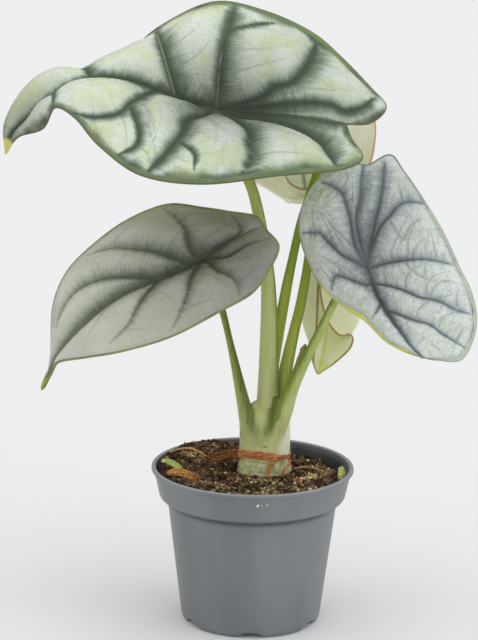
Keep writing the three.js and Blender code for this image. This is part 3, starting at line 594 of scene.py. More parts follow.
def vein_field(blade, points):
    """For each point of a blade: `gap`, how far the nearest main vein is in half widths of its
    dark band; `reach`, the same in millimetres; `along`, the millimetres walked along that vein;
    `minor`, how far the nearest thin vein is in its half widths; `swell`, 0 on the veins and 1 in
    the middle of a panel, as the product of 1 - depth exp(-(distance / spread)^2); and `groove`,
    how deep the surface dips into a vein. A band narrows evenly and dies out at its end, and it
    is narrower by the share `lean` on one side, where the panel overhangs it."""
    t = np.linspace(0, 1, 260)
    face = np.asarray(blade["face"], float)
    lines = [(blade.get("midrib_lean", -1), blade["midrib_band"], 1.0,
              through(blade["midrib"], t * 0.97))]
    for side, wide, thin, depth, path in blade["veins"] + side_arcs(blade):
        u, s = through(path, t[::2]).T
        lines.append(((side or -1), (wide, thin), depth, on_blade(blade, side, u, s)))
    count = len(points)
    field = {name: np.full(count, start) for start, names in (
        (99.0, ("gap", "minor", "reach")), (1.0, ("swell",)),
        (0.0, ("along", "deep", "groove", "ridge"))) for name in names}
    apart = 37  # shifts the noise along each vein, so that no two have the same strokes
    for n, (hand, (wide, thin), depth, line) in enumerate(lines):
        away, walked, length, i = nearest(points, line)
        share = np.clip(walked / length, 0, 1)
        aside = np.cross(line[np.minimum(i + 1, len(line) - 1)] - line[i - 1], points - line[i])
        aside = np.clip((unit(aside) @ face) * 1.4, -1, 1) * smooth(0, 1.5, away)
        width = (wide + (thin - wide) * share) * (0.5 + 0.5 * smooth(0, 5, length - walked))
        width = width * (1 + blade.get("lean", 0) * aside * hand)
        if depth < 0.5:
            faint = 2.2 * share ** 3 + 0.6
            field["minor"] = np.minimum(field["minor"], away / width * faint)
            field["swell"] *= 1 - 0.5 * depth * bell(away, 3)
            field["groove"] = np.maximum(field["groove"], 0.5 * depth * bell(away, 0.8))
            continue
        closer = away < field["reach"]
        fade = blade.get("fade", 0) * share ** 2
        field["gap"] = np.minimum(field["gap"], away / width + fade)
        field["reach"] = np.where(closer, away, field["reach"])
        field["along"] = np.where(closer, walked + apart * n, field["along"])
        field["deep"] = np.where(closer, depth * (1 - 0.8 * share ** 1.5), field["deep"])
        field["ridge"] = np.where(closer, float(n in blade.get("ridges", ())), field["ridge"])
        field["swell"] *= 1 - min(depth, 1) * bell(away, blade["spread"])
        field["groove"] = np.maximum(field["groove"], depth * bell(away, 1.1 + 0.25 * width))
    return field


def even_normals(points, faces, reach, samples=900, batches=12):
    """Normals averaged over a neighbourhood, so that shapes raised along them don't fold where
    the blade creases: each is the sum of some sampled triangles' normals, spread evenly by area,
    weighted by exp(-(distance / reach)^2) and by how far they agree with the point's own."""
    own = normals(points, faces)
    a, b, c = (points[faces[:, i]] for i in range(3))
    cross = np.cross(b - a, c - a)
    walked = np.cumsum(np.linalg.norm(cross, axis=1))
    pick = np.searchsorted(walked, (np.arange(samples) + 0.5) / samples * walked[-1])
    centre, way = (a + b + c)[pick] / 3, unit(cross[pick])
    total = np.zeros_like(points)
    for part in np.array_split(np.arange(len(points)), batches):
        square = ((points[part][:, None] - centre[None]) ** 2).sum(2)
        weight = np.exp(-square / reach ** 2) * np.maximum(own[part] @ way.T + 0.2, 0)
        total[part] = weight @ way
    return unit(total + 1e-4 * own)


def blade_relief(blade, points, field, puff, wrinkle):
    """How far the upper face stands out: the panels between the veins swell, each vein lies in a
    groove, a line of rounding follows the rim, and small wrinkles run away from the veins."""
    edge, reach, along = field["edge"], field["reach"], field["along"]
    inside = 1 - bell(edge, 7)
    swell = puff * (field["swell"] - 0.4 * smooth(2, 16, field["joint"])) * inside
    rim = -0.6 * bell(edge - field["rim"] - 0.8, 1.1) * smooth(0.4, 1.4, field["rim"])
    across = plane(along, reach * 0.2, field["deep"])
    folds = 1 - 2.5 * np.abs(noise(across, 2.9, 5, 2))
    near = smooth(0.6, 2.5, reach) * (1 - smooth(9, 17, reach)) * inside
    loose = 0.3 * noise(points, 19, 3, 2) * inside
    return swell - 0.6 * field["groove"] + rim + wrinkle * folds * near + loose


def make_blade(key, piece_name, material, thickness, puff_share, wrinkle):
    """A blade as a closed body: the upper face, the lower face one thickness below it and
    thicker under the veins, and a rounded rim of three more rings between them."""
    blade = BLADES[key]
    sheet, faces = blade_sheet(blade, *FINENESS[key])
    field = {**vein_field(blade, sheet), **margin_field(blade, sheet)}
    for name, end in (("joint", 0), ("tip", -1)):
        field[name] = np.linalg.norm(sheet - np.asarray(blade["midrib"][end], float), axis=1)
    ahead = unit(np.subtract(blade["midrib"][2], blade["midrib"][0]).astype(float))
    field["behind"] = -(sheet - np.asarray(blade["midrib"][0], float)) @ ahead
    out = even_normals(sheet, faces, blade["spread"] * 0.8)
    relief = blade_relief(blade, sheet, field, blade["puff"] * puff_share, wrinkle)
    upper = sheet + out * relief[:, None]
    ribs = 0.8 * field["deep"] * bell(field["reach"], 0.9) * (1 - bell(field["edge"], 3))
    lower = upper - out * (thickness + ribs)[:, None]
    # the open edge: directed edges that no other triangle runs the other way
    count = len(upper)
    ends = np.vstack([faces[:, [0, 1]], faces[:, [1, 2]], faces[:, [2, 0]]])
    forth, back = ends[:, 0] * count + ends[:, 1], ends[:, 1] * count + ends[:, 0]
    rim = ends[~np.isin(forth, back)]
    loop = np.unique(rim)
    place = np.zeros(count, int)
    place[loop] = np.arange(len(loop))
    ahead = np.zeros((count, 3))
    ahead[rim[:, 0]] += upper[rim[:, 1]] - upper[rim[:, 0]]
    ahead[rim[:, 1]] += upper[rim[:, 1]] - upper[rim[:, 0]]
    outward = unit(np.cross(ahead[loop], out[loop]))
    turns = np.array([0.25, 0.5, 0.75]) * np.pi
    rings = [upper[loop] + (lower[loop] - upper[loop]) * (1 - math.cos(a)) / 2
             + outward * thickness * 0.45 * math.sin(a) for a in turns]
    points = np.vstack([upper, lower, *rings])
    chain = [lambda i: i] + [lambda i, n=n: 2 * count + n * len(loop) + place[i]
                             for n in range(3)] + [lambda i: i + count]
    walls = []
    for a, b in zip(chain, chain[1:]):
        p, q, r, s = a(rim[:, 0]), a(rim[:, 1]), b(rim[:, 1]), b(rim[:, 0])
        walls += [np.stack([q, p, s], axis=-1), np.stack([q, s, r], axis=-1)]
    faces = np.vstack([faces, faces[:, ::-1] + count, *walls])
    values = {name: np.concatenate([value, value, *[value[loop]] * 3])
              for name, value in field.items() if name not in ("swell", "groove")}
    under = np.concatenate([np.zeros(count), np.ones(count), *[np.full(len(loop), 0.5)] * 3])
    return make_piece(piece_name, points, faces, material, sharp=60, under=under, **values)


# ------------------------------------------------------------------ materials


# Nodes in use: the node itself, the sockets that its values go to in order, the output that is
# read, and its usual settings. "times_plus" is a * b + c, and "span" takes a value from one
# range to another (0 to 1 unless given), along an S and held at its ends.
NODES = {
    "plus": ("Math", (0, 1), 0, {"operation": "ADD"}),
    "minus": ("Math", (0, 1), 0, {"operation": "SUBTRACT"}),
    "times": ("Math", (0, 1), 0, {"operation": "MULTIPLY"}),
    "times_plus": ("Math", (0, 1, 2), 0, {"operation": "MULTIPLY_ADD"}),
    "least": ("Math", (0, 1), 0, {"operation": "MINIMUM"}),
    "most": ("Math", (0, 1), 0, {"operation": "MAXIMUM"}),
    "unsigned": ("Math", (0,), 0, {"operation": "ABSOLUTE"}),
    "root": ("Math", (0,), 0, {"operation": "SQRT"}),
    "span": ("MapRange", (0, 1, 2, 3, 4), 0, {"interpolation_type": "SMOOTHSTEP"}),
    "mix": ("Mix", (0, 6, 7), 2, {"data_type": "RGBA", "clamp_result": True}),
    "ramp": ("ValToRGB", (0,), 0, {}),
    "value": ("Attribute", (), "Fac", {}),
    "place": ("TexCoord", (), "Object", {}),
    "stretched": ("Mapping", ("Vector", "Scale"), 0, {}),
    "moved": ("VectorMath", (0, 1, 2), 0, {"operation": "MULTIPLY_ADD"}),
    "point": ("CombineXYZ", (0, 1, 2), 0, {}),
    "split": ("SeparateXYZ", (0,), 0, {}),
    "noise": ("TexNoise", ("Vector", "Scale", "Detail", "Roughness"), "Fac", {}),
    "cells": ("TexVoronoi", ("Vector", "Scale"), "Distance", {}),
    "bump": ("Bump", ("Strength", "Distance", "Height"), 0, {}),
    "surface": ("BsdfPrincipled", (), 0, {}),
    "end": ("OutputMaterial", (0,), 0, {}),
}


def add(tree, kind, *values, inputs=(), output=None, stops=(), **settings):
    """Adds one of NODES and returns the output that is read. `values`, and `inputs` by their
    sockets' names, are numbers, hex colours or other nodes' outputs. `stops` are a colour ramp's
    places and hex colours."""
    name, sockets, usual_output, usual = NODES[kind]
    item = tree.nodes.new("ShaderNode" + name)
    for key, value in {**usual, **settings}.items():
        setattr(item, key, value)
    for key, value in [*zip(sockets, values), *dict(inputs).items()]:
        if isinstance(value, bpy.types.NodeSocket):
            tree.links.new(value, item.inputs[key])
        else:
            item.inputs[key].default_value = linear(value) if isinstance(value, str) else value
    for n, (place, code) in enumerate(stops):
        elements = item.color_ramp.elements
        element = elements[n] if n < len(elements) else elements.new(place)
        element.position, element.color = place, linear(code)
    return item.outputs[output or usual_output] if item.outputs else None


def start_material(name):
    """An empty material, and `add` for its own nodes."""
    material = bpy.data.materials.new(name)
    material.use_nodes = True
    material.node_tree.nodes.clear()
    return material, partial(add, material.node_tree)


def finish(material, new, colour, relief=None, strength=0.0, distance=0.0, **surface):
    """Ends a material in one surface of a colour, with a bump where it has relief. `surface`
    names its other values."""
    inputs = {key.replace("_", " "): value for key, value in surface.items()}
    if relief:
        inputs["Normal"] = new("bump", strength, distance, relief)
    new("end", new("surface", inputs={"Base Color": colour, **inputs}))
    return material


def grain(new, per_mm, detail, rough=0.5, stretch=(1, 1, 1)):
    """A pattern on the object with grains about 1 / per_mm millimetres across, or longer along
    an axis whose stretch is below 1."""
    return new("noise", new("stretched", new("place"), stretch), per_mm / MM, detail, rough)


def shaded(new, colour, factor):
    """A colour times a number."""
    return new("mix", 1.0, colour, new("point", factor, factor, factor), blend_type="MULTIPLY")


def blade_material(name, looks):
    """Living leaf blade, grown, with a thin wax bloom. To the eye: a silver skin of soft sheen,
    dark green bands along the veins whose edges break into fine strokes across them, faint arcs
    of side veins in the panels, and a plain green rim with a thin brown line at its very edge.
    Strokes are about 0.7 mm apart, creases across the panels about 1.5 mm. The lower side is
    pale and plain; young blades let light through. Shade is painted into the colour round the
    joint, on the lobes behind it, towards the tip and in the creases."""
    material, new = start_material(name)
    gap, minor, reach, along, edge, under, tip, width, tint, joint, ridge, deep, behind = (
        new("value", attribute_name=key) for key in
        ("gap", "minor", "reach", "along", "edge", "under", "tip", "rim", "tint", "joint",
         "ridge", "deep", "behind"))

    def across(per_mm, drag, detail):
        """Noise drawn out across the nearest vein: per_mm along it, drag times that across."""
        return new("noise", new("point", along, new("times", reach, drag), 0.3), per_mm, detail,
                   0.6)

    # strokes and slower waves, both from -1 to 1
    stroke = new("times_plus", across(1.4, 0.07, 3.0), 2.0, -1.0)
    wide = new("times_plus", across(0.3, 0.2, 2.0), 2.0, -1.0)
    mottle = grain(new, 0.13, 3.0)
    fine = grain(new, 1.1, 2.0)
    # the feathered edge: strokes push the band's border to and fro
    push = new("times_plus", wide, 0.55, new("times_plus", mottle, 1.1, -0.55))
    push = new("times_plus", stroke, looks["strokes"], push)
    border = new("times_plus", push, new("span", gap, 0.1, 1.3, 0.15, 1.0), gap)
    # here and there the band's dark green also runs along the margin
    shore = new("times_plus", new("minus", edge, width), 1 / looks.get("shore", 0.1),
                new("span", grain(new, 0.05, 2.0), 0.42, 0.66, 0.1, 2.2))
    border = new("least", border, new("plus", shore, stroke))
    bands = new("ramp", new("times", border, 1 / STOPS_END, use_clamp=True),
                stops=[(place / STOPS_END, code) for place, code in looks["stops"]])
    patches = new("span", grain(new, 0.055, 2.0), 0.36, 0.66, 0.0, looks["patch_share"])
    bands = new("mix", new("times", new("span", gap, 1.6, 3.2), patches), bands, looks["patch"])
    # the vein itself: a thin dark line, or on two of them a pale ridge
    core = new("times", new("span", reach, 0.15, 0.75, looks["core_share"], 0.0), deep,
               use_clamp=True)
    bands = new("mix", core, bands, looks["core"])
    crest = new("times", ridge, new("span", reach, 0.3, 0.95, 0.6, 0.0))
    bands = new("mix", crest, bands, "#9C9A84")
    bands = new("mix", new("span", joint, 2.0, 17.0, looks["joint_share"], 0.0), bands,
                looks["joint"])
    # thin side veins: the drawn ones and a fine net; and painted shade: thin dark lines where
    # creases run away from the veins
    thin = new("times", new("span", minor, 0.2, 1.7, looks["minor_share"], 0.0),
               new("span", gap, 0.7, 1.8))
    crease_shade = new("unsigned", new("minus", across(0.35, 0.3, 2.0), 0.5))
    crease_shade = new("times", new("span", crease_shade, 0.0, 0.045, 1.0, 0.0),
                 new("span", reach, 1.5, 4.0, 0.0, looks["crease_shade"]))
    wander = new("noise", new("place"), 90.0, 1.0, output="Color")
    net = new("cells", new("moved", wander, (0.006,) * 3, new("place")), 210.0,
              feature="DISTANCE_TO_EDGE")
    net = new("span", net, 0.0, 0.09, looks["net"], 0.0)
    lines = new("most", new("most", thin, crease_shade), net)
    veined = new("mix", lines, bands, looks["line"])
    # light and dark strokes in the fading part of a band, and a fine speckle everywhere
    hatch = new("times", new("span", gap, 0.2, 0.9),
                new("span", gap, 2.0, 4.5, looks["hatch"], 0.15 * looks["hatch"]))
    shade = new("times_plus", stroke, hatch, new("span", fine, 0.3, 0.7, -0.045, 0.045))
    # painted shade: darker round the joint, and on the lobes behind it
    shade = new("plus", shade, new("span", joint, 4.0, looks["clear"], looks["near"], 1.0))
    shade = new("times", shade, new("span", behind, -8.0, 24.0, 1.0, looks.get("lobes", 1.0)))
    veined = shaded(new, veined, shade)
    # the rim: a dark line inside it, a plain green strip, a brown edge
    uneven = new("times_plus", stroke, 0.5, new("times_plus", mottle, 2.4, -1.2))
    inner = new("minus", new("plus", edge, uneven), width)
    there = new("span", width, 0.3, 1.6)
    line = new("times", new("span", inner, 0.2, 2.6, looks["rim_line"], 0.0), there)
    rimmed = new("mix", line, veined, looks["band"])
    strip = new("mix", tint, looks["rim"], looks["rim_far"])
    strip = new("mix", new("span", mottle, 0.35, 0.65, 0.0, 0.45), strip, looks["rim_deep"])
    inside = new("times", new("span", inner, -0.6, 0.25, 1.0, 0.0), there)
    rimmed = new("mix", inside, rimmed, strip)
    # painted shade: darker towards the tip
    rimmed = shaded(new, rimmed, new("span", tip, 14.0, 66.0, looks.get("end", 1.0), 1.0))
    below = new("mix", new("span", reach, 0.3, 2.4, 0.5, 0.0), looks["under"],
                looks["under_vein"])
    lip = looks["lip"]
    if "far" in looks:
        # the end away from the tip is paler, with a pink edge
        away = new("span", tip, 95.0, 125.0)
        rimmed = new("mix", away, rimmed, looks["far"])
        below = new("mix", away, below, looks["far"])
        lip = new("mix", away, lip, looks["far_lip"])
    rimmed = new("mix", new("span", edge, 0.15, 0.6, looks["lip_share"], 0.0), rimmed, lip)
    rimmed = new("mix", new("span", tip, 7.5, 10.5, looks["tip_share"], 0.0), rimmed,
                 looks["tip"])
    below = new("mix", new("span", edge, 0.1, 1.0, looks["lip_share"], 0.0), below, lip)
    colour = new("mix", new("span", under, 0.45, 0.75), rimmed, below)
    relief = new("times_plus", fine, 0.4, new("times", lines, -0.9))
    relief = new("times_plus", stroke, 0.5, relief)
    return finish(material, new, colour, relief, 0.6, 0.0003, IOR=1.43, Specular_IOR_Level=0.4,
                  Roughness=new("span", gap, 0.4, 2.2, 0.5, 0.42),
                  Subsurface_Weight=looks.get("glow", 0.0),
                  Subsurface_Radius=(1.0, 1.0, 0.6), Subsurface_Scale=0.004)


STOPS_END = 5.0  # half widths of a band at the right end of its row of colours

# A blade's colours and strengths: `stops` run from a band's middle outwards, in its half widths.
# `near` (from the joint out to `clear` mm), the lobe value and `end` (towards the tip) set how
# dark the painted shade is.
BLADE_LOOKS = {
    "top": dict(
        stops=[(0, "#3F4A37"), (0.35, "#4A5844"), (0.8, "#667560"), (1.3, "#8C9A87"),
               (1.9, "#B3BFAF"), (2.6, "#D3DCD0"), (3.8, "#E2E8DC")],
        core="#38422F", core_share=0.35, strokes=0.4, hatch=0.26, band="#526150",
        joint="#5F6A4E", joint_share=0.5, line="#808F7A", minor_share=0.45, crease_shade=0.16, net=0.07,
        rim="#6F7F58", rim_far="#71894F", rim_deep="#566B45", rim_line=0.6, lip="#5E5A42",
        lip_share=0.75, tip="#D3CC77", tip_share=0.95, under="#C9CB86", under_vein="#AEB76C",
        patch="#CFDBA2", patch_share=0.6, near=0.44, clear=62.0, end=0.6, shore=2.6, lobes=0.86),
    "left": dict(
        stops=[(0, "#4D5544"), (0.4, "#626A58"), (0.9, "#7F8674"), (1.5, "#9BA093"),
               (2.4, "#B3B8AB"), (3.4, "#C0C4B8"), (5, "#C4C7BC")],
        core="#465040", core_share=0.25, strokes=0.4, hatch=0.3, band="#7C8870",
        joint="#4E5641", joint_share=0.7, line="#8D9482", minor_share=0.45, crease_shade=0.12, net=0.06,
        rim="#96A66E", rim_far="#96A66E", rim_deep="#83925F", rim_line=0.3, lip="#7F8A45",
        lip_share=0.7, tip="#B5B84A", tip_share=0.9, under="#B4BE86", under_vein="#98A562",
        patch="#B2B896", patch_share=0.4, near=0.5, clear=80.0, lobes=0.64),
    "right": dict(
        stops=[(0, "#5A6063"), (0.3, "#747B7E"), (0.8, "#9BA3A4"), (1.4, "#B9C1C0"),
               (2.2, "#CED5D3"), (3.4, "#DAE0DC"), (5, "#DBE1DB")],
        core="#363C3C", core_share=0.5, strokes=0.5, hatch=0.45, band="#8C9899",
        joint="#83878A", joint_share=0.5, line="#747C7A", minor_share=0.5, crease_shade=0.34, net=0.14,
        rim="#BBC8B0", rim_far="#D8D645", rim_deep="#A7B6A0", rim_line=0.4, lip="#8E9A80",
        lip_share=0.5, tip="#C2C86A", tip_share=0.0, under="#CBCD50", under_vein="#B2B944",
        patch="#C9D3C2", patch_share=0.5, near=0.74, clear=50.0, lobes=0.84),
    "young": dict(
        stops=[(0, "#8B9896"), (0.5, "#A3AEAC"), (1.0, "#B9C2BF"), (1.8, "#C9D0CC"),
               (2.6, "#DADFDB"), (3.6, "#E0E5E1"), (5, "#DFE4DA")],
        core="#7F8D8A", core_share=0.5, strokes=0.4, hatch=0.2, band="#A9B4A6",
        joint="#B9C184", joint_share=0.3, line="#A9B4A6", minor_share=0.4, crease_shade=0.2, net=0.05,
        rim="#B9C184", rim_far="#B9C184", rim_deep="#AEB878", rim_line=0.2, lip="#84604A",
        lip_share=0.85, tip="#C9CC96", tip_share=0.5, under="#EEEED2", under_vein="#F4F3E2",
        patch="#E9EBDC", patch_share=0.3, near=1.0, clear=60.0, glow=0.6),
    "furled": dict(
        stops=[(0, "#CFD49A"), (0.8, "#DDE0AE"), (1.6, "#E6E8C2"), (2.6, "#EDEED0"),
               (3.6, "#F0F1D8"), (5, "#EEEFD2")],
        core="#CDD296", core_share=0.4, strokes=0.3, hatch=0.1, band="#D3D6A2",
        joint="#B9C184", joint_share=0.3, line="#CDD098", minor_share=0.4, crease_shade=0.1, net=0.0,
        rim="#E0E2B8", rim_far="#E0E2B8", rim_deep="#D3D6A2", rim_line=0.0, lip="#8A5F48",
        lip_share=0.85, tip="#C5CA8C", tip_share=0.5, under="#E8EABC", under_vein="#F0F0D4",
        patch="#DCE2A8", patch_share=0.5, near=1.0, clear=60.0, glow=0.8, far="#F6F4EA",
        far_lip="#C07F78"),
}


def stalk_material(name, foot, middle, head, dark):
    """Living leaf stalk, fleshy and smooth, with long fibres under the skin. To the eye: green
    streaks about 1 mm wide along it, paler where it leaves the stem, and a soft gloss."""
    material, new = start_material(name)
    along, turn = (new("value", attribute_name=key) for key in ("along", "turn"))
    streaks = grain(new, 0.9, 3.0, 0.6, (1, 1, 0.05))
    clouds = grain(new, 0.12, 2.0, stretch=(1, 1, 0.35))
    flecks = grain(new, 1.6, 2.0, stretch=(1, 1, 0.4))
    ragged = new("times_plus", streaks, 0.8, new("minus", turn, 0.4))
    flank = new("plus", new("span", ragged, 0.1, 0.9, 0.0, 0.85),
                new("span", streaks, 0.45, 0.7, 0.0, 0.18), use_clamp=True)
    colour = new("ramp", along, stops=[(0.12, foot), (0.4, middle), (0.75, head)])
    colour = new("mix", flank, colour, dark)
    colour = new("mix", new("span", clouds, 0.5, 0.75, 0.0, 0.15), colour, foot)
    colour = new("mix", new("span", flecks, 0.56, 0.72, 0.0, 0.3), colour, dark)
    return finish(material, new, colour, streaks, 0.3, 0.0002, IOR=1.42, Roughness=0.45,
                  Specular_IOR_Level=0.3)


def stem_material(name, pale, green, deep, corm, speck):
    """Stem base of wrapped leaf sheaths on a corm, living, smooth and moist. To the eye: pale
    yellow-green, greener stripes where the sheaths overlap, long fine streaks, and small brown
    specks below. Painted shade darkens the left of its front, and painted light makes the right
    of its front paler."""
    material, new = start_material(name)
    stripe, low, scar = (new("value", attribute_name=key) for key in ("stripe", "low", "scar"))
    streaks = grain(new, 0.7, 3.0, 0.6, (1, 1, 0.09))
    clouds = grain(new, 0.13, 3.0)
    colour = new("mix", new("span", clouds, 0.35, 0.65, 0.0, 0.35), pale, green)
    colour = new("mix", new("span", streaks, 0.42, 0.68, 0.0, 0.3), colour, green)
    # above 0 where the skin is greener, at its stripes and with painted shade on the left of the
    # front; below 0 where painted light makes the right of the front paler
    ragged = new("times_plus", streaks, 0.7, new("minus", stripe, 0.35))
    colour = new("mix", new("times", new("span", ragged, 0.0, 0.9), stripe, use_clamp=True),
                 colour, deep)
    # painted light: the right of the front turns towards a pale cream
    colour = new("mix", new("span", new("times", stripe, -1.0), 0.1, 1.0, 0.0, 0.75), colour,
                 "#EDEBD2")
    mottled = new("mix", new("span", grain(new, 0.45, 3.0, 0.7), 0.4, 0.62, 0.0, 0.8), corm,
                  green)
    mottled = new("mix", new("span", grain(new, 0.3, 2.0, 0.6), 0.54, 0.7, 0.0, 0.35), mottled,
                  speck)
    colour = new("mix", low, colour, mottled)
    # specks in patches, mostly low down, and the scars with torn edges
    patch = new("times", new("span", grain(new, 0.22, 2.0), 0.45, 0.6),
                new("span", low, 0.0, 1.0, 0.15, 0.8))
    spots = new("span", new("cells", new("place"), 420.0), 0.12, 0.26, 1.0, 0.0)
    torn = new("times_plus", grain(new, 0.9, 2.0), 1.2, new("minus", scar, 0.6))
    torn = new("times", new("span", torn, 0.45, 0.7, 0.0, 0.8), new("span", scar, 0.05, 0.3))
    spots = new("most", new("times", spots, patch), torn)
    return finish(material, new, new("mix", spots, colour, speck),
                  new("plus", streaks, clouds), 0.35, 0.0004, IOR=1.42, Roughness=0.4)


def husk_material(name, dark, mid, light, stretch=(1, 1, 1)):
    """Dried leaf sheath or root skin, papery. To the eye: matt orange-brown with darker fibres
    about half a millimetre wide and paler worn ridges."""
    material, new = start_material(name)
    fibres = grain(new, 1.1, 4.0, 0.65, stretch)
    colour = new("ramp", fibres, stops=[(0.32, dark), (0.5, mid), (0.68, light)])
    return finish(material, new, colour, fibres, 0.6, 0.0005, IOR=1.45, Roughness=0.75)


def soil_material(name, stops):
    """Peat potting mix, damp, crumbled. To the eye: matt near-black brown with lighter crumbs,
    straw-coloured grains and a little moss. `tone` picks the colour of each crumb, and damp
    hollows, some 8 mm across, are darker."""
    material, new = start_material(name)
    small = grain(new, 1.4, 4.0, 0.7)
    tone = new("minus", new("value", attribute_name="tone"), 0.175)
    colour = new("ramp", new("times_plus", small, 0.35, tone, use_clamp=True), stops=stops)
    damp = new("span", grain(new, 0.12, 3.0), 0.38, 0.58, 0.6, 1.75)
    return finish(material, new, shaded(new, colour, damp), small, 0.8, 0.0006, Roughness=0.95,
                  Specular_IOR_Level=0.25)


def pot_material(name, plastic, light, dust):
    """Polypropylene nursery pot, injection moulded, satin. To the eye: even blue-grey with faint
    flow marks, a fine orange-peel skin 0.8 mm across, and a few specks of dry soil by the rim.
    Inside, painted shade makes it darker in uneven patches, and a painted highlight makes its
    lip's top paler."""
    material, new = start_material(name)
    flow = grain(new, 0.03, 3.0, stretch=(1, 1, 0.25))
    colour = new("mix", new("span", flow, 0.35, 0.65), plastic, light)
    x, y, height = (new("split", new("place"), output=axis) for axis in "XYZ")
    # a cone between the wall's two faces, then heights in metres
    across = new("root", new("times_plus", x, x, new("times", y, y)))
    wall = new("times_plus", height, -0.155, across)
    inside = new("times", new("span", wall, 0.0424, 0.0432, 1.0, 0.0),
                 new("span", height, 0.070, 0.074))
    shade_patches = new("span", grain(new, 0.12, 3.0), 0.3, 0.7, 0.75, 1.0)
    # painted shade on the wall's inner face, uneven in patches
    colour = new("mix", new("times", inside, shade_patches), colour, "#3F434A")
    # painted highlight: the top of the lip paler
    colour = new("mix", new("span", height, 0.0931, 0.0938, 0.0, 0.6), colour, "#A3A8AD")
    few = new("times", new("span", height, 0.078, 0.092, 0.0, 0.5),
              new("span", grain(new, 0.05, 1.0), 0.56, 0.6))
    specks = new("span", new("cells", new("place"), 110.0), 0.05, 0.09, 1.0, 0.0)
    colour = new("mix", new("times", specks, few), colour, dust)
    return finish(material, new, colour, grain(new, 1.3, 2.0), 0.15, 0.0002, IOR=1.49,
                  Roughness=new("span", flow, 0.3, 0.7, 0.38, 0.47))


# ------------------------------------------------------------------ pot


def eased(profile, radius, steps=5):
    """A profile whose corners are rounded: each corner becomes a short parabola that leaves the
    two sides at most `radius` from it."""
    profile = np.asarray(profile, float)
    out = [profile[:1]]
    t = np.linspace(0, 1, steps)[:, None]
    for before, at, after, bend in zip(profile, profile[1:], profile[2:], radius):
        a, b = before - at, after - at
        cut = min(bend, np.linalg.norm(a) * 0.45, np.linalg.norm(b) * 0.45)
        start, end = at + unit(a) * cut, at + unit(b) * cut
        out.append(start * (1 - t) ** 2 + 2 * at * t * (1 - t) + end * t ** 2)
    return np.vstack([*out, profile[-1:]])


def pot_mesh(height, rim, base, wall, sides=240):
    """The pot as a turned profile, radius and height against the angle. Its foot's lower edge
    rises in six arches, each the height of a circle of 17 mm chord over the ground."""
    shoulder, band = 0.772 * height, 0.814 * height
    body_top, band_low, band_top = 0.85 * rim, 0.927 * rim, 0.973 * rim
    pad, recess, hollow = 23, 34, 3  # the underside's disc, and the ring-shaped recess round it
    lip, floor = 2.6, 1.6
    # radius and height of each corner, from the underside's middle out, up and in, and how
    # roundly it turns
    corners = [
        ((0, 0), 0), ((pad, 0), 0.6), ((pad + 1, hollow), 0.6), ((recess, hollow), 0.6),
        ((recess + 1, 0), 0.4),
        ((base - 1.4, 0), 1.8), ((base + 0.3, 2.4), 1.2), ((body_top - 0.7, shoulder + 0.6), 0.3),
        ((body_top - 0.5, shoulder + 1.2), 0.2), ((body_top + 0.6, shoulder + 0.7), 0.4),
        ((band_low - 0.4, band - 0.1), 1.3), ((band_top, height - lip), 0.7),
        ((rim, height - lip + 0.4), 0.5), ((rim, height - 0.5), 0.6), ((rim - 0.7, height), 0.6),
        ((rim - 2.3, height - 0.1), 0.5), ((band_top - wall - 1, height - 3), 1.0),
        ((band_low - wall, band + 0.6), 2.5),
        ((body_top - wall, shoulder + 0.6), 1.6), ((base - wall, hollow + floor), 1.5),
        ((pad - 0.5, hollow + floor), 0.5), ((pad - 1.5, floor), 0.5), ((0, floor), 0),
    ]
    profile = eased([c[0] for c in corners], [c[1] for c in corners[1:-1]])
    # long straight runs are cut into rows, so that the arches and the wall stay even
    rows, row_height = [profile[:1]], 3
    for a, b in zip(profile, profile[1:]):
        n = max(1, math.ceil(np.linalg.norm(b - a) / row_height))
        rows.append(a + (b - a) * (np.arange(1, n + 1) / n)[:, None])
    profile = np.vstack(rows)
    angle = np.linspace(0, 2 * np.pi, sides, endpoint=False)
    r, z = profile[:, 0:1], profile[:, 1:2]
    chord, rise, reach = 17.0, 2.7, 7.0
    arch_radius = (chord ** 2 / 4 + rise ** 2) / (2 * rise)
    sector = np.pi / 3
    off = base * np.abs(np.sin((angle + np.pi / 2 + sector / 2) % sector - sector / 2))[None]
    arch = np.sqrt(np.maximum(arch_radius ** 2 - off ** 2, 0)) - (arch_radius - rise)
    arch = np.maximum(arch, 0) * (r > recess + 0.5) * (z < reach)
    foot = (np.arange(len(profile)) < len(profile) / 2)[:, None]
    raised = np.where(foot & (z < reach), arch + z * (1 - arch / reach), z)
    grid = plane(r * np.cos(angle), r * np.sin(angle), raised * np.ones_like(angle))
    faces = grid_faces(len(profile), sides, wrap=True, flip=True)
    return weld(grid.reshape(-1, 3), faces)[:2]


def drain_cutter(holes=6, radius=3.5, circle=28.5):
    """Upright closed cylinders on a circle, one where each drain hole goes."""
    parts = []
    for turn in np.arange(holes) / holes * 2 * np.pi - np.pi / 2:
        x, y = circle * math.cos(turn), circle * math.sin(turn)
        path = [(x, y, z, radius) for z in (-2, 4, 10)]
        parts.append(tube(path, 32, 2, (1, 0, 0))[:2])
    return joined(parts)


def cut(piece, cutter):
    """Takes the cutter's shape out of a piece, with a Boolean modifier that is then applied."""
    step = piece.modifiers.new("cut", "BOOLEAN")
    step.object, step.solver = cutter, "EXACT"
    bpy.context.view_layer.update()
    solved = piece.evaluated_get(bpy.context.evaluated_depsgraph_get())
    mesh = bpy.data.meshes.new_from_object(solved)
    piece.modifiers.clear()
    old, piece.data = piece.data, mesh
    bpy.data.meshes.remove(old)
    mesh.name = piece.name
    bpy.data.objects.remove(cutter)


# ------------------------------------------------------------------ soil

SHORE = [(71.0, 49.0), (76.8, 53.0), (94.0, 56.2)]  # height, radius just inside the pot's wall
SOIL_RADIUS = 54
SOIL_LEVEL, SOIL_TILT = 88.5, -0.06  # height at the pot's axis, and rise per millimetre of X
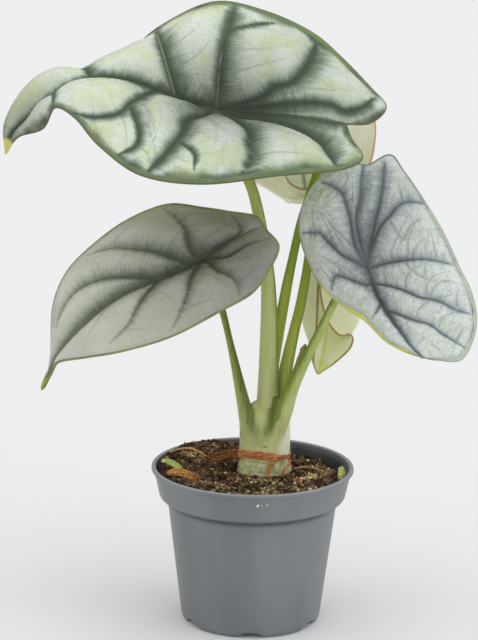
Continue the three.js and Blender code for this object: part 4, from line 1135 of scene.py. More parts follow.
# Heaps at the back left, at the left wall, and in front and to the right of the stem: x, y,
# height, spread.
HEAPS = [(-32, 38, 6, 18), (-52, -2, 2.6, 15), (7, -13, 1.5, 6), (21, -5, 3.2, 5)]


def soil_level(x, y):
    """The lie of the soil: a slight fall to the right, heaps with the form of a bell, and
    ripples made of two sines."""
    level = SOIL_LEVEL + SOIL_TILT * x
    for middle_x, middle_y, height, spread in HEAPS:
        square = (x - middle_x) ** 2 + (y - middle_y) ** 2
        level = level + height * np.exp(-square / (2 * spread ** 2))
    ripple = np.sin(x * 0.21 + 1) * np.cos(y * 0.24) + 0.6 * np.sin(x * 0.13 - y * 0.31)
    return level + 0.6 * ripple


def soil_mesh(rings=150, sides=330):
    """The soil as a closed body: a surface over rings and angle, roughened by crumbs of 7 mm
    down to 1 mm, and a plain wall and floor inside the pot."""
    angle = np.linspace(0, 2 * np.pi, sides, endpoint=False)
    share = np.linspace(1, 0.004, rings) ** 0.75
    edge = soil_level(SOIL_RADIUS * np.cos(angle), SOIL_RADIUS * np.sin(angle))
    heights, radii = zip(*SHORE)
    shore = np.interp(np.minimum(edge, 93), heights, radii)
    x = share[:, None] * shore * np.cos(angle)
    y = share[:, None] * shore * np.sin(angle)
    at = plane(x, y)
    rough = 1.3 * noise(at, 7, 11, 2) + 0.8 * np.abs(noise(at, 2.6, 12, 2)) - 0.3
    pits = -2.0 * smooth(0.35, 0.8, noise(at, 5, 13, 2))
    calm = smooth(0, 0.04, 1 - share)[:, None]
    z = soil_level(x, y) + (rough + pits) * calm - 1.2 * bell(share - 1, 0.05)[:, None]
    z = np.minimum(z, 95.5)
    wall = [(0.5, 5.1), (39, 5.1), (48.8, 71.0), (52.8, 76.0)]
    low = [plane(r * np.cos(angle), r * np.sin(angle), h) for r, h in wall]
    grid = np.concatenate([np.stack(low), plane(x, y, z)])
    points, faces = closed_grid(grid, [(0, 0, 5.1), (0, 0, z[-1].mean())])
    tone = 0.16 + 0.1 * noise(points, 9, 21, 2) + 0.1 * noise(points, 1.8, 22, 2)
    return points, faces, tone


def lumps(rng, centres, size, tone, sides=6, rings=4):
    """Irregular crumbs, one at each centre: a sphere of `rings` by `sides` points, each point
    pulled in or out at random, squashed, and turned at random. Every crumb is closed by a pole
    at each end."""
    n = len(centres)
    v = (np.arange(rings)[:, None] + 1) / (rings + 1) * np.pi
    a = np.arange(sides) / sides * 2 * np.pi
    ball, one = closed_grid(plane(np.sin(v) * np.cos(a), np.sin(v) * np.sin(a), np.cos(v)),
                            [(0, 0, 1), (0, 0, -1)])
    knobs = ball * (1 + 0.42 * rng.uniform(-1, 1, (n, len(ball), 1)))
    knobs = knobs * rng.uniform(0.55, 1.2, (n, 1, 3))
    turn, _ = np.linalg.qr(rng.normal(size=(n, 3, 3)))
    turn[np.linalg.det(turn) < 0, :, 0] *= -1
    points = np.einsum("nij,nkj->nki", turn, knobs) * np.reshape(size, (n, 1, 1))
    points += centres[:, None]
    # the rings run downwards here, so the faces are turned over
    faces = (one[None, :, ::-1] + (np.arange(n) * len(ball))[:, None, None]).reshape(-1, 3)
    return points.reshape(-1, 3), faces, np.repeat(tone, len(ball))


def scattered(rng, count, reach):
    """Places spread evenly over the soil, within a share of its radius and clear of the stem."""
    r = SOIL_RADIUS * reach * np.sqrt(rng.uniform(0, 1, count * 2))
    a = rng.uniform(0, 2 * np.pi, count * 2)
    x, y = r * np.cos(a), r * np.sin(a)
    stem_x, stem_y = 15.8, 13.4  # half widths of the stem at the soil's surface
    free = ((x - STEM_AXIS[0]) / stem_x) ** 2 + ((y - STEM_AXIS[1]) / stem_y) ** 2 > 1
    return x[free][:count], y[free][:count]


def strands(rng, x, y, length, radius, lift=1.1, sides=5, steps=9):
    """Thin fibres that lie on the soil: each a tapered rod whose path is a random arc in plan,
    at the soil's height plus a low random hump."""
    parts = []
    for n in range(len(x)):
        turn, bend = rng.uniform(0, 2 * np.pi), rng.uniform(-1.2, 1.2)
        t = np.linspace(-0.5, 0.5, 5)
        way = turn + bend * t
        px = x[n] + length[n] * t * np.cos(way)
        py = y[n] + length[n] * t * np.sin(way)
        inside = np.minimum(1, (SOIL_RADIUS - 0.5) / np.maximum(np.hypot(px, py), 1e-6))
        px, py = px * inside, py * inside
        pz = soil_level(px, py) + lift * (0.6 + rng.uniform(-0.3, 1.0, 5))
        r = radius[n] * np.array([0.5, 1, 1.1, 0.9, 0.35])
        points, faces, *_ = tube(np.column_stack([px, py, pz, r]), sides, steps, (0, 0, 1))
        parts.append((points, faces, np.full(len(points), rng.uniform(0, 1))))
    return joined(parts)


# ------------------------------------------------------------------ stem, collar, stalks


def stalk_at(name, z):
    """Centre and radius of a stalk's lower part at given heights."""
    rows = through(STALKS[name], np.linspace(0, 0.5, 200))
    return [np.interp(z, rows[:, 2], rows[:, i]) for i in (0, 1, 3)]


# Small brown scars on the front of the stem: x, z, half width, half height, darkness.
SCARS = [(-8.2, 113.5, 1.6, 1.3, 1), (7.4, 115.8, 0.9, 0.8, 1), (6.9, 107.8, 1.9, 0.6, 1),
         (13.0, 134.5, 0.9, 0.7, 0.8), (-2.5, 90, 1.2, 1.2, 1), (2, 86, 1.4, 0.8, 0.8),
         (10, 93, 0.8, 0.6, 0.7)]

COLLAR_RADIUS = 14  # of the circle that the collar's edges and crumples are laid out on
COLLAR_THICKNESS = 0.5

# How high the stem base still holds each stalk, and how far its sheath stands out round it.
SHEATHS = {"top": (139, 0.3), "right": (138, 0.25), "left": (133, 0.25), "cupped": (137, 0.3),
           "rolled": (137, 0.3)}


def stem_radius(angle, z):
    """The stem's reach from its axis in one direction at a height. Low down it is an oval. Higher
    up each stalk's round section is seen from the axis: b + sqrt(r^2 - (c^2 - b^2)), with c the
    distance of its centre and b its part along the direction. The largest wins softly, as a
    power mean, and each stalk's share dies out where its sheath ends."""
    heights, rx, ry = np.asarray(STEM_RINGS, float).T
    a, b = np.interp(z, heights, rx), np.interp(z, heights, ry)
    oval = 1 / np.sqrt((np.cos(angle) / a) ** 2 + (np.sin(angle) / b) ** 2)
    power, core = 14, 3.0  # how hard the largest wins, and the least reach
    total = np.maximum(oval * (1 - smooth(124, 140, z)), core) ** power
    for name, (top, margin) in SHEATHS.items():
        x, y, r = stalk_at(name, z)
        x, y = x - STEM_AXIS[0], y - STEM_AXIS[1]
        r = r + margin * (1 - 4 * smooth(top - 18, top - 1, z))
        ahead = x * np.cos(angle) + y * np.sin(angle)
        room = r ** 2 - (x ** 2 + y ** 2 - ahead ** 2)
        reach = np.maximum(ahead + np.sqrt(np.maximum(room, 0)), 0) * smooth(-14, 6, room)
        total = total + (reach * (1 - smooth(top - 4, top + 1, z))) ** power
    return total ** (1 / power)


def stem_mesh(sides=330, rings=190):
    """The stem base as reach against angle and height, with lumps on the corm below and faint
    upright folds where the sheaths overlap."""
    angle = np.linspace(0, 2 * np.pi, sides, endpoint=False)[None]
    z = np.linspace(67, 141, rings)[:, None]
    reach = stem_radius(angle, z)
    low = 1 - smooth(97, 101, z)
    at = plane(reach * np.cos(angle), reach * np.sin(angle), z * np.ones_like(angle))
    reach = reach + 0.55 * low * noise(at, 6, 31, 2) + 0.12 * noise(at * (1, 1, 0.2), 3, 32, 2)
    ring = bell(z - 97.5, 0.7) * 0.35 + bell(z - 91.5, 0.6) * 0.3
    reach = reach - ring * (0.6 + 0.4 * np.sin(3 * angle))
    seam = -2.02 + (z - 100) * 0.012
    reach = reach - 0.35 * bell(angle - (seam + 2 * np.pi), 0.05) * smooth(101, 108, z)
    grid = plane(STEM_AXIS[0] + reach * np.cos(angle), STEM_AXIS[1] + reach * np.sin(angle),
                 z * np.ones_like(angle))
    points, faces = closed_grid(grid, [(*STEM_AXIS, 66.5), (*STEM_AXIS, 141.5)])
    x, y, z = points.T
    front = smooth(-6, 2, STEM_AXIS[1] - y)
    stripe = 0.85 * bell(x - 0.1 + 0.2 * (z - 118), 4.0) * smooth(99, 122, z) * front
    stripe += 0.95 * bell(x - 10.4 - 0.2 * (z - 124), 4.2) * smooth(102, 121, z) * front
    # painted shade on the left of the front, and painted light, below 0, on its right
    stripe += (0.35 * smooth(2, -7, x) - 0.9 * smooth(11, 20, x - 0.12 * (z - 110))) * front
    scar = sum(share * np.exp(-((x - px) / rx) ** 2 - ((z - pz) / rz) ** 2) * front
               for px, pz, rx, rz, share in SCARS)
    return points, faces, np.clip(stripe, -1, 1), 1 - smooth(97.5, 100.5, z), scar


def collar_mesh(sides=300, rows=16):
    """A papery band round the stem: reach against angle and height, crumpled, with torn edges
    given by uneven sums of sines, and closed by a second skin just inside it."""
    angle = np.linspace(0, 2 * np.pi, sides, endpoint=False)[None]
    share = np.linspace(0, 1, rows)[:, None]
    across, deep = COLLAR_RADIUS * np.cos(angle), COLLAR_RADIUS * np.sin(angle)
    circle = plane(across, deep)
    rise = 99.4 - 3.3 * np.sin(angle) + 0.7 * np.sin(2 * angle + 0.9)
    wide = 1.9 + 0.7 * np.cos(angle + 2.9) + 0.4 * np.sin(3 * angle)
    low = rise - wide + 0.9 * noise(circle, 5, 41, 3)
    high = rise + wide + 0.6 * noise(circle, 5, 42, 3)
    z = low + (high - low) * share
    crumple = 0.45 * noise(plane(across, deep, z), 5, 43, 3)
    reach = stem_radius(angle, z) + 0.55 + crumple + 0.35 * bell(share - 0.5, 0.4)
    reach = reach + 0.8 * smooth(0.8, 1.0, share) * np.maximum(noise(circle, 8, 44, 2), 0)
    outer, inner = (plane(STEM_AXIS[0] + r * np.cos(angle), STEM_AXIS[1] + r * np.sin(angle), z)
                    for r in (reach, reach - COLLAR_THICKNESS))
    grid = np.concatenate([outer, inner[::-1], outer[:1]])
    points, faces, _ = weld(grid.reshape(-1, 3),
                            grid_faces(len(grid), sides, wrap=True, flip=True))
    return points, faces


def rod_shape(seed, rough):
    """A small random swell along a rod and round it."""
    def shape(t, angle):
        ring = plane(np.cos(angle) * 1.2 + 0 * t, np.sin(angle) * 1.2 + 0 * t, t * 14)
        return 1 + rough * noise(ring, 1.0, seed, 3)
    return shape


def stalk_mesh(name, sides, steps):
    """A stalk: a round section along its path, with shallow ribs, a groove towards the back, and
    a flare into the blade. `along` runs from 0 at the foot to 1, `turn` darkens one flank."""
    # the way its greener flank faces: 0 is the front, a quarter turn is the right
    flank, spread = {"top": (1.5, 0.7), "right": (-1.1, 0.8), "left": (0.95, 1.25),
                     "cupped": (1.2, 0.8), "rolled": (-1.5, 0.9)}[name]

    def shape(t, angle):
        ribs = 0.012 * np.sin(9 * angle + 3 * t) + 0.01 * np.sin(23 * angle)
        groove = -0.07 * bell(np.sin((angle - np.pi / 2) / 2), 0.25) * smooth(0.2, 0.5, t)
        hem = 0.13 * bell(np.sin((angle - flank) / 2), 0.14)
        return 1 + ribs + groove + hem * (1 - smooth(0.15, 0.5, t))

    points, faces, t, angle = tube(STALKS[name], sides, steps, (1, 0, 0), shape)
    return points, faces, t, bell(2 * np.sin((angle - flank) / 2), spread)


# ------------------------------------------------------------------ settings


def colour_setting(name, code, description):
    return bpy.props.FloatVectorProperty(name=name, description=description, subtype="COLOR",
                                         size=4, min=0, max=1, default=linear(code))


def length_setting(name, value, description):
    return bpy.props.FloatProperty(name=name, description=description, unit="LENGTH",
                                   subtype="DISTANCE", min=0.0001, default=value * MM)


def code_of(colour):
    """A colour setting as the hex code that the materials are written in."""
    values = [12.92 * v if v <= 0.0031308 else 1.055 * v ** (1 / 2.4) - 0.055
              for v in list(colour)[:3]]
    return "#" + "".join(f"{round(255 * min(max(v, 0), 1)):02X}" for v in values)


class AlocasiaPotSettings(bpy.types.PropertyGroup):
    """Sizes and colours of the pot."""
    height: length_setting("Height", 94, "Height of the pot")
    rim: length_setting("Rim radius", 60, "Outer radius of the rim")
    base: length_setting("Base radius", 41.2, "Outer radius of the foot")
    wall: length_setting("Wall", 1.4, "Thickness of the wall")
    plastic: colour_setting("Plastic", "#6F7376", "Main colour of the plastic")
    light: colour_setting("Light plastic", "#7B7F83", "Colour of the paler flow marks")
    dust: colour_setting("Dust", "#A98F70", "Dry soil stuck near the rim")


class AlocasiaSoilSettings(bpy.types.PropertyGroup):
    """How much loose matter lies on the soil, and its colours."""
    crumbs: bpy.props.IntProperty(name="Crumbs", description="Number of crumbs", default=3600,
                                  min=10, max=4000)
    fibres: bpy.props.IntProperty(name="Fibres", description="Number of thin fibres",
                                  default=420, min=1, max=600)
    dark: colour_setting("Dark peat", "#251D17", "Damp peat in the hollows")
    peat: colour_setting("Peat", "#554030", "Main colour of the peat")
    crumb: colour_setting("Crumb", "#8E7052", "Lighter crumbs")
    straw: colour_setting("Straw", "#B79A70", "Straw-coloured grains and fibres")
    moss: colour_setting("Moss", "#75753F", "Bits of moss")


class AlocasiaStemSettings(bpy.types.PropertyGroup):
    """Colours of the stem base and its papery collar."""
    pale: colour_setting("Pale skin", "#C9CA90", "Palest part of the skin")
    green: colour_setting("Green skin", "#ABB462", "Greener part of the skin")
    # the stripe colour also colours the painted shade on the stem's left
    deep: colour_setting("Stripe", "#62701C", "Where the sheaths overlap")
    corm: colour_setting("Corm", "#CFD2A8", "Skin below the collar")
    speck: colour_setting("Specks", "#6E4A30", "Specks on the skin")
    paper: colour_setting("Paper", "#B8713E", "Dried sheath")


class AlocasiaStalkSettings(bpy.types.PropertyGroup):
    """Fineness and colours of the leaf stalks."""
    sides: bpy.props.IntProperty(name="Sides", description="Points round a stalk", default=48,
                                 min=8, max=96)
    foot: colour_setting("Foot", "#C1C688", "Colour where a stalk leaves the stem")
    middle: colour_setting("Middle", "#A4B263", "Colour half way up the right stalk")
    head: colour_setting("Head", "#B3BF72", "Colour under the right blade")
    dark: colour_setting("Flank", "#69822A", "Greener flank of the right stalk")


class AlocasiaBladeSettings(bpy.types.PropertyGroup):
    """Sizes and main colours of the blades."""
    thickness: length_setting("Thickness", 1.0, "Thickness of a blade between its veins")
    puff: bpy.props.FloatProperty(name="Quilting", description="How far the panels swell",
                                  default=1.0, min=0, max=1.5)
    wrinkle: length_setting("Wrinkles", 0.35, "Height of the small wrinkles beside the veins")
    vein: colour_setting("Rim line", "#5F6E5C", "Dark line inside the top blade's rim")


class AlocasiaStageSettings(bpy.types.PropertyGroup):
    """Floor and light."""
    floor: colour_setting("Floor", "#F5F5F5", "Floor under the pot")
    sky: bpy.props.FloatProperty(name="Room light", description="Strength of the even light",
                                 default=0.56, min=0)
    key: bpy.props.FloatProperty(name="Key light", description="Strength of the light above",
                                 default=0.78, min=0)
    fill: bpy.props.FloatProperty(name="Side light", description="Strength of the side lights",
                                  default=0.7, min=0)


# ------------------------------------------------------------------ operators


class ALOCASIA_OT_stage(bpy.types.Operator):
    """Floor, soft studio light, and a camera at the photograph's view."""
    bl_idname = "alocasia.stage"
    bl_label = "Stage"

    def execute(self, context):
        settings, scene = context.scene.alocasia_stage, context.scene
        material = finish(*start_material("matt_paper_floor"), settings.floor, Roughness=0.9,
                          Specular_IOR_Level=0.1)
        reach = 6000
        points = reach * np.array([(-1, -1, 0), (1, -1, 0), (1, 1, 0), (-1, 1, 0)], float)
        floor = make_piece("floor", points, np.array([(0, 1, 2), (0, 2, 3)]), material)
        # one even pale surround, then four wide soft lamps: above, right, left and in front
        world = bpy.data.worlds.new("studio")
        world.use_nodes = True
        world.node_tree.nodes["Background"].inputs[0].default_value = linear("#F6F7F8")
        world.node_tree.nodes["Background"].inputs[1].default_value = settings.sky
        scene.world = world
        lamps = [("above", settings.key, "#FFFFFF", (0.08, 0.1, 1.0), 75),
                 ("right", settings.fill, "#F3F7FF", (1.0, -0.5, 0.55), 70),
                 ("left", 0.7 * settings.fill, "#FFFCF4", (-1.0, -0.45, 0.55), 70),
                 ("front", 0.6 * settings.fill, "#FFFFFF", (0.1, -1.0, 0.1), 60)]
        for name, strength, colour, towards, spread in lamps:
            lamp = bpy.data.lights.new(name, "SUN")
            lamp.energy, lamp.angle = strength, math.radians(spread)
            lamp.color = linear(colour)[:3]
            holder = bpy.data.objects.new(name, lamp)
            back = unit(np.array(towards, float))
            across = unit(np.cross((0, 0, 1), back))
            up = np.cross(back, across)
            holder.matrix_world = Matrix([[*row, 0] for row in zip(across, up, back)]
                                         + [[0, 0, 0, 1]])
            scene.collection.objects.link(holder)
        # camera: 1.5 m in front, 551 mm up, looking 13.8 degrees down, rolled by 0.8 degrees;
        # its lens sees 2637 of the image's pixels at a distance of one
        pitch, roll, pixels, image_height = math.radians(13.8), math.radians(0.8), 2637, 640
        ahead = np.array((0, math.cos(pitch), -math.sin(pitch)))
        up = np.array((0, math.sin(pitch), math.cos(pitch)))
        right = np.array((1.0, 0, 0))
        across = right * math.cos(roll) + up * math.sin(roll)
        up = -right * math.sin(roll) + up * math.cos(roll)
        eye = np.array((-9.3, -1500, 551)) * MM
        lens = bpy.data.cameras.new("camera")
        lens.sensor_fit, lens.sensor_height = "VERTICAL", 36
        lens.lens = pixels / image_height * lens.sensor_height
        lens.clip_end = 100
        camera = bpy.data.objects.new("camera", lens)
        rows = [[*row, place] for row, place in zip(zip(across, up, -ahead), eye)]
        camera.matrix_world = Matrix(rows + [[0, 0, 0, 1]])
        scene.collection.objects.link(camera)
        scene.camera = camera
        scene.view_settings.view_transform = "Standard"
        return {"FINISHED"}


class ALOCASIA_OT_pot(bpy.types.Operator):
    """The nursery pot: a turned shell with a thick lip, a shoulder, arches and drain holes."""
    bl_idname = "alocasia.pot"
    bl_label = "Pot"

    def execute(self, context):
        s = context.scene.alocasia_pot
        material = pot_material("polypropylene_moulded_satin", code_of(s.plastic),
                                code_of(s.light), code_of(s.dust))
        sizes = (value / MM for value in (s.height, s.rim, s.base, s.wall))
        points, faces = pot_mesh(*sizes)
        pot = make_piece("pot_shell", points, faces, material, sharp=50)
        cut(pot, make_piece("cutter", *drain_cutter(), material))
        pot.data.set_sharp_from_angle(angle=math.radians(50))
        seat(pot, "pot_plastic", "pot")
        return {"FINISHED"}


class ALOCASIA_OT_soil(bpy.types.Operator):
    """The soil: a rough bed, loose crumbs, and thin fibres on it."""
    bl_idname = "alocasia.soil"
    bl_label = "Soil"

    def execute(self, context):
        s = context.scene.alocasia_soil
        rng = np.random.default_rng(7)
        stops = [(0.0, code_of(s.dark)), (0.28, code_of(s.peat)), (0.52, code_of(s.crumb)),
                 (0.66, code_of(s.moss)), (0.8, code_of(s.straw)), (1.0, "#D8C79E")]
        peat = soil_material("peat_mix_damp", stops)
        *bed, tone = soil_mesh()
        dress("soil_bed", bed, peat, "soil", "soil", sharp=70, tone=tone)
        # crumbs: most of them peat, then lighter ones, moss, and straw, whose grains stay small;
        # each kind has its share of the crumbs and its range of tones
        x, y = scattered(rng, s.crumbs, 0.99)
        n = len(x)
        size = 0.35 + 1.15 * rng.uniform(0, 1, n) ** 3
        kind = rng.uniform(0, 1, n)
        ends, ranges = (0.72, 0.9, 0.94), ((0.05, 0.42), (0.42, 0.58), (0.6, 0.7), (0.76, 1.0))
        tone = np.choose(np.digitize(kind, ends), [rng.uniform(*span, n) for span in ranges])
        size = np.where(kind > ends[-1], np.minimum(size, 0.9), size)
        z = np.minimum(soil_level(x, y) + size * rng.uniform(0, 0.9, n), 96)
        *crumbs, tones = lumps(rng, plane(x, y, z), size, tone)
        dress("soil_crumbs", crumbs, peat, "soil", sharp=35, tone=tones)
        # pale mossy clusters, by the middle, spread and number of bits: the densest on the
        # right, others in front, at the left and by the stem
        spots = [(36, -1, 4.5, 46), (-37, 14, 4, 14), (4, -17, 6, 26), (44, -8, 3, 12),
                 (-20, -10, 5, 8), (12, -30, 9, 18), (31, -8, 3, 14), (7, -15, 9, 30),
                 (10, -42, 14, 70), (32, -24, 10, 40), (-14, -36, 14, 40)]
        where = np.concatenate([rng.normal((x, y), spread / 2.2, (count, 2))
                                for x, y, spread, count in spots])
        x, y = where[np.hypot(*where.T) < SOIL_RADIUS - 2].T
        size = rng.uniform(0.4, 1.2, len(x))
        z = soil_level(x, y) + size * rng.uniform(0.3, 1.3, len(x))
        tone = rng.choice([0.68, 0.74, 0.84, 1.0], len(x))
        *bits, tones = lumps(rng, plane(x, y, z), size, tone)
        dress("moss_bits", bits, peat, "soil", sharp=35, tone=tones)
        x, y = scattered(rng, s.fibres, 0.95)
        n = len(x)
        *fibres, tones = strands(rng, x, y, rng.uniform(2, 11, n), rng.uniform(0.07, 0.2, n))
        dress("soil_fibres", fibres, peat, "soil",
              tone=np.where(tones < 0.6, 0.25 + tones * 0.4, 0.5 + tones * 0.4))
        return {"FINISHED"}


class ALOCASIA_OT_stem(bpy.types.Operator):
    """The stem base, which holds the feet of the stalks, on its corm."""
    bl_idname = "alocasia.stem"
    bl_label = "Stem base"

    def execute(self, context):
        s = context.scene.alocasia_stem
        material = stem_material("fresh_stem_skin", code_of(s.pale), code_of(s.green),
                                 code_of(s.deep), code_of(s.corm), code_of(s.speck))
        *mesh, stripe, low, scar = stem_mesh()
        dress("stem_skin", mesh, material, "stem_skin", "stem_base", stripe=stripe, low=low,
              scar=scar)
        return {"FINISHED"}


class ALOCASIA_OT_collar(bpy.types.Operator):
    """The papery collar, the strip of it that lies to the left, and its hanging strands."""
    bl_idname = "alocasia.collar"
    bl_label = "Papery collar"

    def execute(self, context):
        s = context.scene.alocasia_stem
        paper = husk_material("dried_sheath_papery", "#7A451F", code_of(s.paper), "#D9A06A",
                              (0.3, 0.3, 1))
        stale = husk_material("dried_sheath_stale", "#54351B", "#8C5A2B", "#BC8A52", (0.3, 0.3, 1))
        dress("collar_band", collar_mesh(), paper, "dry_sheath", "papery_collar")
        # the strip: a bundle of flat shreds that leave the band's left side
        parts = []
        rng = np.random.default_rng(51)
        for n in range(22):
            aside = rng.uniform(-1, 1)
            shred = [(-5.5, 0.5 + 1.2 * aside, 100.3 + 1.5 * aside, 0.8),
                     (-9.5, 2.5 + 1.5 * aside, 100.2 + 1.7 * aside, 1.0),
                     (-13.5, 5.5 + 2 * aside, 99.2 + 1.7 * aside, 1.1),
                     (-19, 10 + 3 * aside, 96.5 + 1.6 * aside, 1.0),
                     (-22 - rng.uniform(0, 6), 14 + 3 * aside, 94.5 + 1.2 * aside, 0.35)]
            shred = np.array(shred) + rng.normal(0, 0.22, (5, 4)) * (1, 1, 1, 0.3)
            shred[:, 3] = np.abs(shred[:, 3]) * rng.uniform(0.5, 1.1)
            parts.append(tube(shred, 8, 26, (0.3, 0.5, 1), rod_shape(80 + n, 0.2), 0.4)[:2])
        dress("collar_strip", joined(parts), stale, "dry_sheath")
        # the tails: three strands that hang in front, and one that hangs clear on the right
        parts = []
        hang = [(12.2, -10.7, 101.5, 1.2), (11.6, -11.4, 98.5, 1.3), (9.9, -12.2, 95, 0.9),
                (8.4, -13.0, 91, 0.9), (6.2, -14.0, 87.6, 0.5)]
        for n, (dx, dz) in enumerate(((0, 0), (0.9, 1), (-0.5, -1.5))):
            strand = np.array(hang) + (dx, 0.1 * n, dz, -0.3 * n)
            parts.append(tube(strand, 10, 50, (0, 1, 0), rod_shape(90 + n, 0.35), 0.6)[:2])
        side = [(17.5, -8.4, 102.5, 0.9), (21.0, -6.8, 100.5, 0.8), (21.6, -7.6, 97.5, 0.7),
                (19.0, -9.8, 95, 0.6), (16.8, -11.2, 91.5, 0.5), (16.0, -12.4, 88.5, 0.3)]
        parts.append(tube(np.array(side), 10, 60, (0, 1, 0), rod_shape(95, 0.35), 0.6)[:2])
        dress("collar_tails", joined(parts), paper, "dry_sheath")
        return {"FINISHED"}


class ALOCASIA_OT_stalks(bpy.types.Operator):
    """The five leaf stalks."""
    bl_idname = "alocasia.stalks"
    bl_label = "Stalks"

    def execute(self, context):
        s = context.scene.alocasia_stalk
        foot, middle, head, dark = (code_of(c) for c in (s.foot, s.middle, s.head, s.dark))
        looks = {
            "top": stalk_material("fresh_stalk_beige", foot, "#B3B577", "#929E28", "#687A1E"),
            "left": stalk_material("fresh_stalk_olive", foot, "#969A48", "#95943E", "#545F1A"),
            "right": stalk_material("fresh_stalk_green", foot, middle, head, dark),
            "cupped": stalk_material("fresh_stalk_deep", "#BCC264", "#A4AC3E", "#8A9A34",
                                     "#687F22"),
            "rolled": stalk_material("fresh_stalk_bright", "#C3C962", "#93A83A", "#7D992E",
                                     "#6B8824"),
        }
        for name, material in looks.items():
            *mesh, along, turn = stalk_mesh(name, s.sides, 260)
            dress(f"petiole_{name}", mesh, material, "stalk_skin", f"stalk_{name}_leaf",
                  along=along, turn=turn)
        # the short empty sheath between the stalks, brown and papery at its tip
        path = [(20.5, 0, 138, 3), (22.5, -4, 147, 2.8), (25.2, -7, 156, 2.6), (27.2, -9, 163, 2.5),
                (28.8, -10, 168, 2.2), (29.6, -10.3, 171, 0.8)]
        *mesh, along, angle = tube(path, 48, 120, (1, 0, 0), rod_shape(99, 0.2), 0.8)
        sheath = stalk_material("spent_sheath_green", "#9AA648", "#88943C", "#8C8048", "#6A5C2C")
        dress("sheath_tip", mesh, sheath, "stalk_skin", along=along,
              turn=bell(np.sin((angle - 1.2) / 2), 0.4))
        return {"FINISHED"}


class ALOCASIA_OT_blades(bpy.types.Operator):
    """The three grown blades and the two young ones."""
    bl_idname = "alocasia.blades"
    bl_label = "Blades"

    def execute(self, context):
        s = context.scene.alocasia_blade
        top = {**BLADE_LOOKS["top"], "band": code_of(s.vein)}
        materials = {
            "top": blade_material("quilted_blade_silver", top),
            "left": blade_material("quilted_blade_grey", BLADE_LOOKS["left"]),
            "right": blade_material("quilted_blade_blue", BLADE_LOOKS["right"]),
            "cupped": blade_material("young_blade_cupped", BLADE_LOOKS["young"]),
            "rolled": blade_material("young_blade_furled", BLADE_LOOKS["furled"]),
        }
        slots = {"cupped": "blade_young", "rolled": "blade_young"}
        wrinkles = {"top": 0.5, "left": 0.4, "right": 1.9, "cupped": 0.1, "rolled": 0.1}
        for name, material in materials.items():
            piece = make_blade(name, f"blade_{name}", material, s.thickness / MM, s.puff,
                               s.wrinkle / MM * wrinkles[name])
            seat(piece, slots.get(name, f"blade_{name}"), f"leaf_{name}")
        return {"FINISHED"}


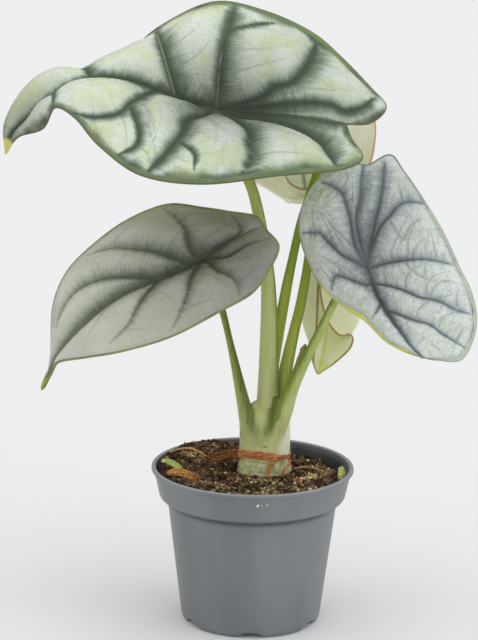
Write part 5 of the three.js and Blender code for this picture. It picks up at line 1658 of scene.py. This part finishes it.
class ALOCASIA_OT_scraps(bpy.types.Operator):
    """Loose plant matter on the soil: two roots, two green stubs and a torn dry sheath."""
    bl_idname = "alocasia.scraps"
    bl_label = "Scraps"

    def execute(self, context):
        rng = np.random.default_rng(23)
        root = husk_material("dry_root_skin", "#7A5636", "#C09A62", "#DDBF8C")
        stub = stalk_material("cut_stub_fresh", "#DCDDA0", "#B9C56A", "#CFCF7E", "#8CA544")
        pale = stalk_material("cut_stub_pale", "#F0EEC0", "#E8E79E", "#EEEAAE", "#CFD27C")
        torn = husk_material("torn_sheath_dry", "#7A4A22", "#BC8142", "#E2B874")
        for n, name in enumerate(("root_fibre_left", "root_fibre_right")):
            path = [(x, y, float(soil_level(x, y)) + 1.1 + 0.5 * (i in (1, 2)), r)
                    for i, (x, y, r) in enumerate(SCRAPS[name])]
            mesh = tube(path, 12, 60, (0, 0, 1), rod_shape(61 + n, 0.25))[:2]
            dress(f"{name}_bark", mesh, root, "root_fibre", name)
        for n, name in enumerate(("green_stub_left", "green_stub_right")):
            path = [(x, y, float(soil_level(x, y)) + 1.5 + 1.6 * n * (i < 2), r)
                    for i, (x, y, r) in enumerate(SCRAPS[name])]
            *mesh, along, angle = tube(path, 28, 70, (0, 0, 1),
                                       rod_shape(71 + n, 0.04 + 0.35 * n), 0.9)
            dress(f"{name}_skin", mesh, (stub, pale)[n], "green_stub", name, along=along,
                  turn=bell(np.sin((angle - 1.6) / 2), 0.5))
        # three crumbs of dry soil stuck to the band of the pot
        pot = context.scene.alocasia_pot
        high, rim = pot.height / MM, pot.rim / MM
        x, z = np.array([(3.1, 87.3), (5.4, 87.2), (8.4, 87.6)]).T
        wall = rim * (0.927 + 0.046 * (z - 0.814 * high) / (0.186 * high - 2.6))
        grit = soil_material("dried_soil_speck", [(0.0, "#C08C5A"), (1.0, "#EAD2B0")])
        *specks, tone = lumps(rng, plane(x, -np.sqrt(wall ** 2 - x ** 2), z),
                              np.array([1.05, 0.4, 0.6]), np.array([0.9, 0.2, 0.7]))
        dress("pot_specks", specks, grit, "soil", tone=tone)
        # the torn sheath: fibres that start together at the stub and fan out over the soil
        parts = []
        for _ in range(70):
            spread = rng.uniform(-1, 1)
            length = rng.uniform(0.6, 1.0)
            t = np.linspace(0, 1, 5)
            x = -50 + 20 * t * length + rng.normal(0, 0.3, 5)
            y = -17.5 - 4 * t * length + 6.5 * spread * (0.5 + 0.5 * t) + rng.normal(0, 0.3, 5)
            arch = 2.6 * np.sin(np.pi * np.clip(t * 0.85 + 0.1, 0, 1)) * (1 - 0.5 * spread ** 2)
            z = soil_level(x, y) + 0.6 + arch + rng.normal(0, 0.2, 5)
            r = rng.uniform(0.2, 0.55) * np.array([0.5, 1.1, 0.9, 0.6, 0.2])
            parts.append(tube(np.column_stack([x, y, z, r]), 7, 18, (0, 0, 1), None,
                              rng.uniform(0.4, 0.9))[:2])
        dress("torn_sheath_fibres", joined(parts), torn, "dry_sheath", "dry_scrap_left")
        return {"FINISHED"}


STEPS = (ALOCASIA_OT_stage, ALOCASIA_OT_pot, ALOCASIA_OT_soil, ALOCASIA_OT_stem,
         ALOCASIA_OT_collar, ALOCASIA_OT_stalks, ALOCASIA_OT_blades, ALOCASIA_OT_scraps)

SETTINGS = {
    "alocasia_pot": AlocasiaPotSettings,
    "alocasia_soil": AlocasiaSoilSettings,
    "alocasia_stem": AlocasiaStemSettings,
    "alocasia_stalk": AlocasiaStalkSettings,
    "alocasia_blade": AlocasiaBladeSettings,
    "alocasia_stage": AlocasiaStageSettings,
}


class ALOCASIA_PT_panel(bpy.types.Panel):
    """The steps and their settings, in the 3D view's sidebar."""
    bl_label = "Potted alocasia"
    bl_idname = "ALOCASIA_PT_panel"
    bl_space_type = "VIEW_3D"
    bl_region_type = "UI"
    bl_category = "Alocasia"

    def draw(self, context):
        for step in STEPS:
            self.layout.operator(step.bl_idname)
        for key, group in SETTINGS.items():
            box = self.layout.box()
            settings = getattr(context.scene, key)
            for name in group.__annotations__:
                box.prop(settings, name)


def register():
    for item in (*SETTINGS.values(), *STEPS, ALOCASIA_PT_panel):
        bpy.utils.register_class(item)
    for key, group in SETTINGS.items():
        setattr(bpy.types.Scene, key, bpy.props.PointerProperty(type=group))


def unregister():
    for key in SETTINGS:
        delattr(bpy.types.Scene, key)
    for item in (ALOCASIA_PT_panel, *reversed(STEPS), *reversed(SETTINGS.values())):
        bpy.utils.unregister_class(item)


def main():
    register()
    for step in STEPS:
        group, name = step.bl_idname.split(".")
        getattr(getattr(bpy.ops, group), name)()
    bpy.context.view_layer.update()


if __name__ == "__main__":
    main()
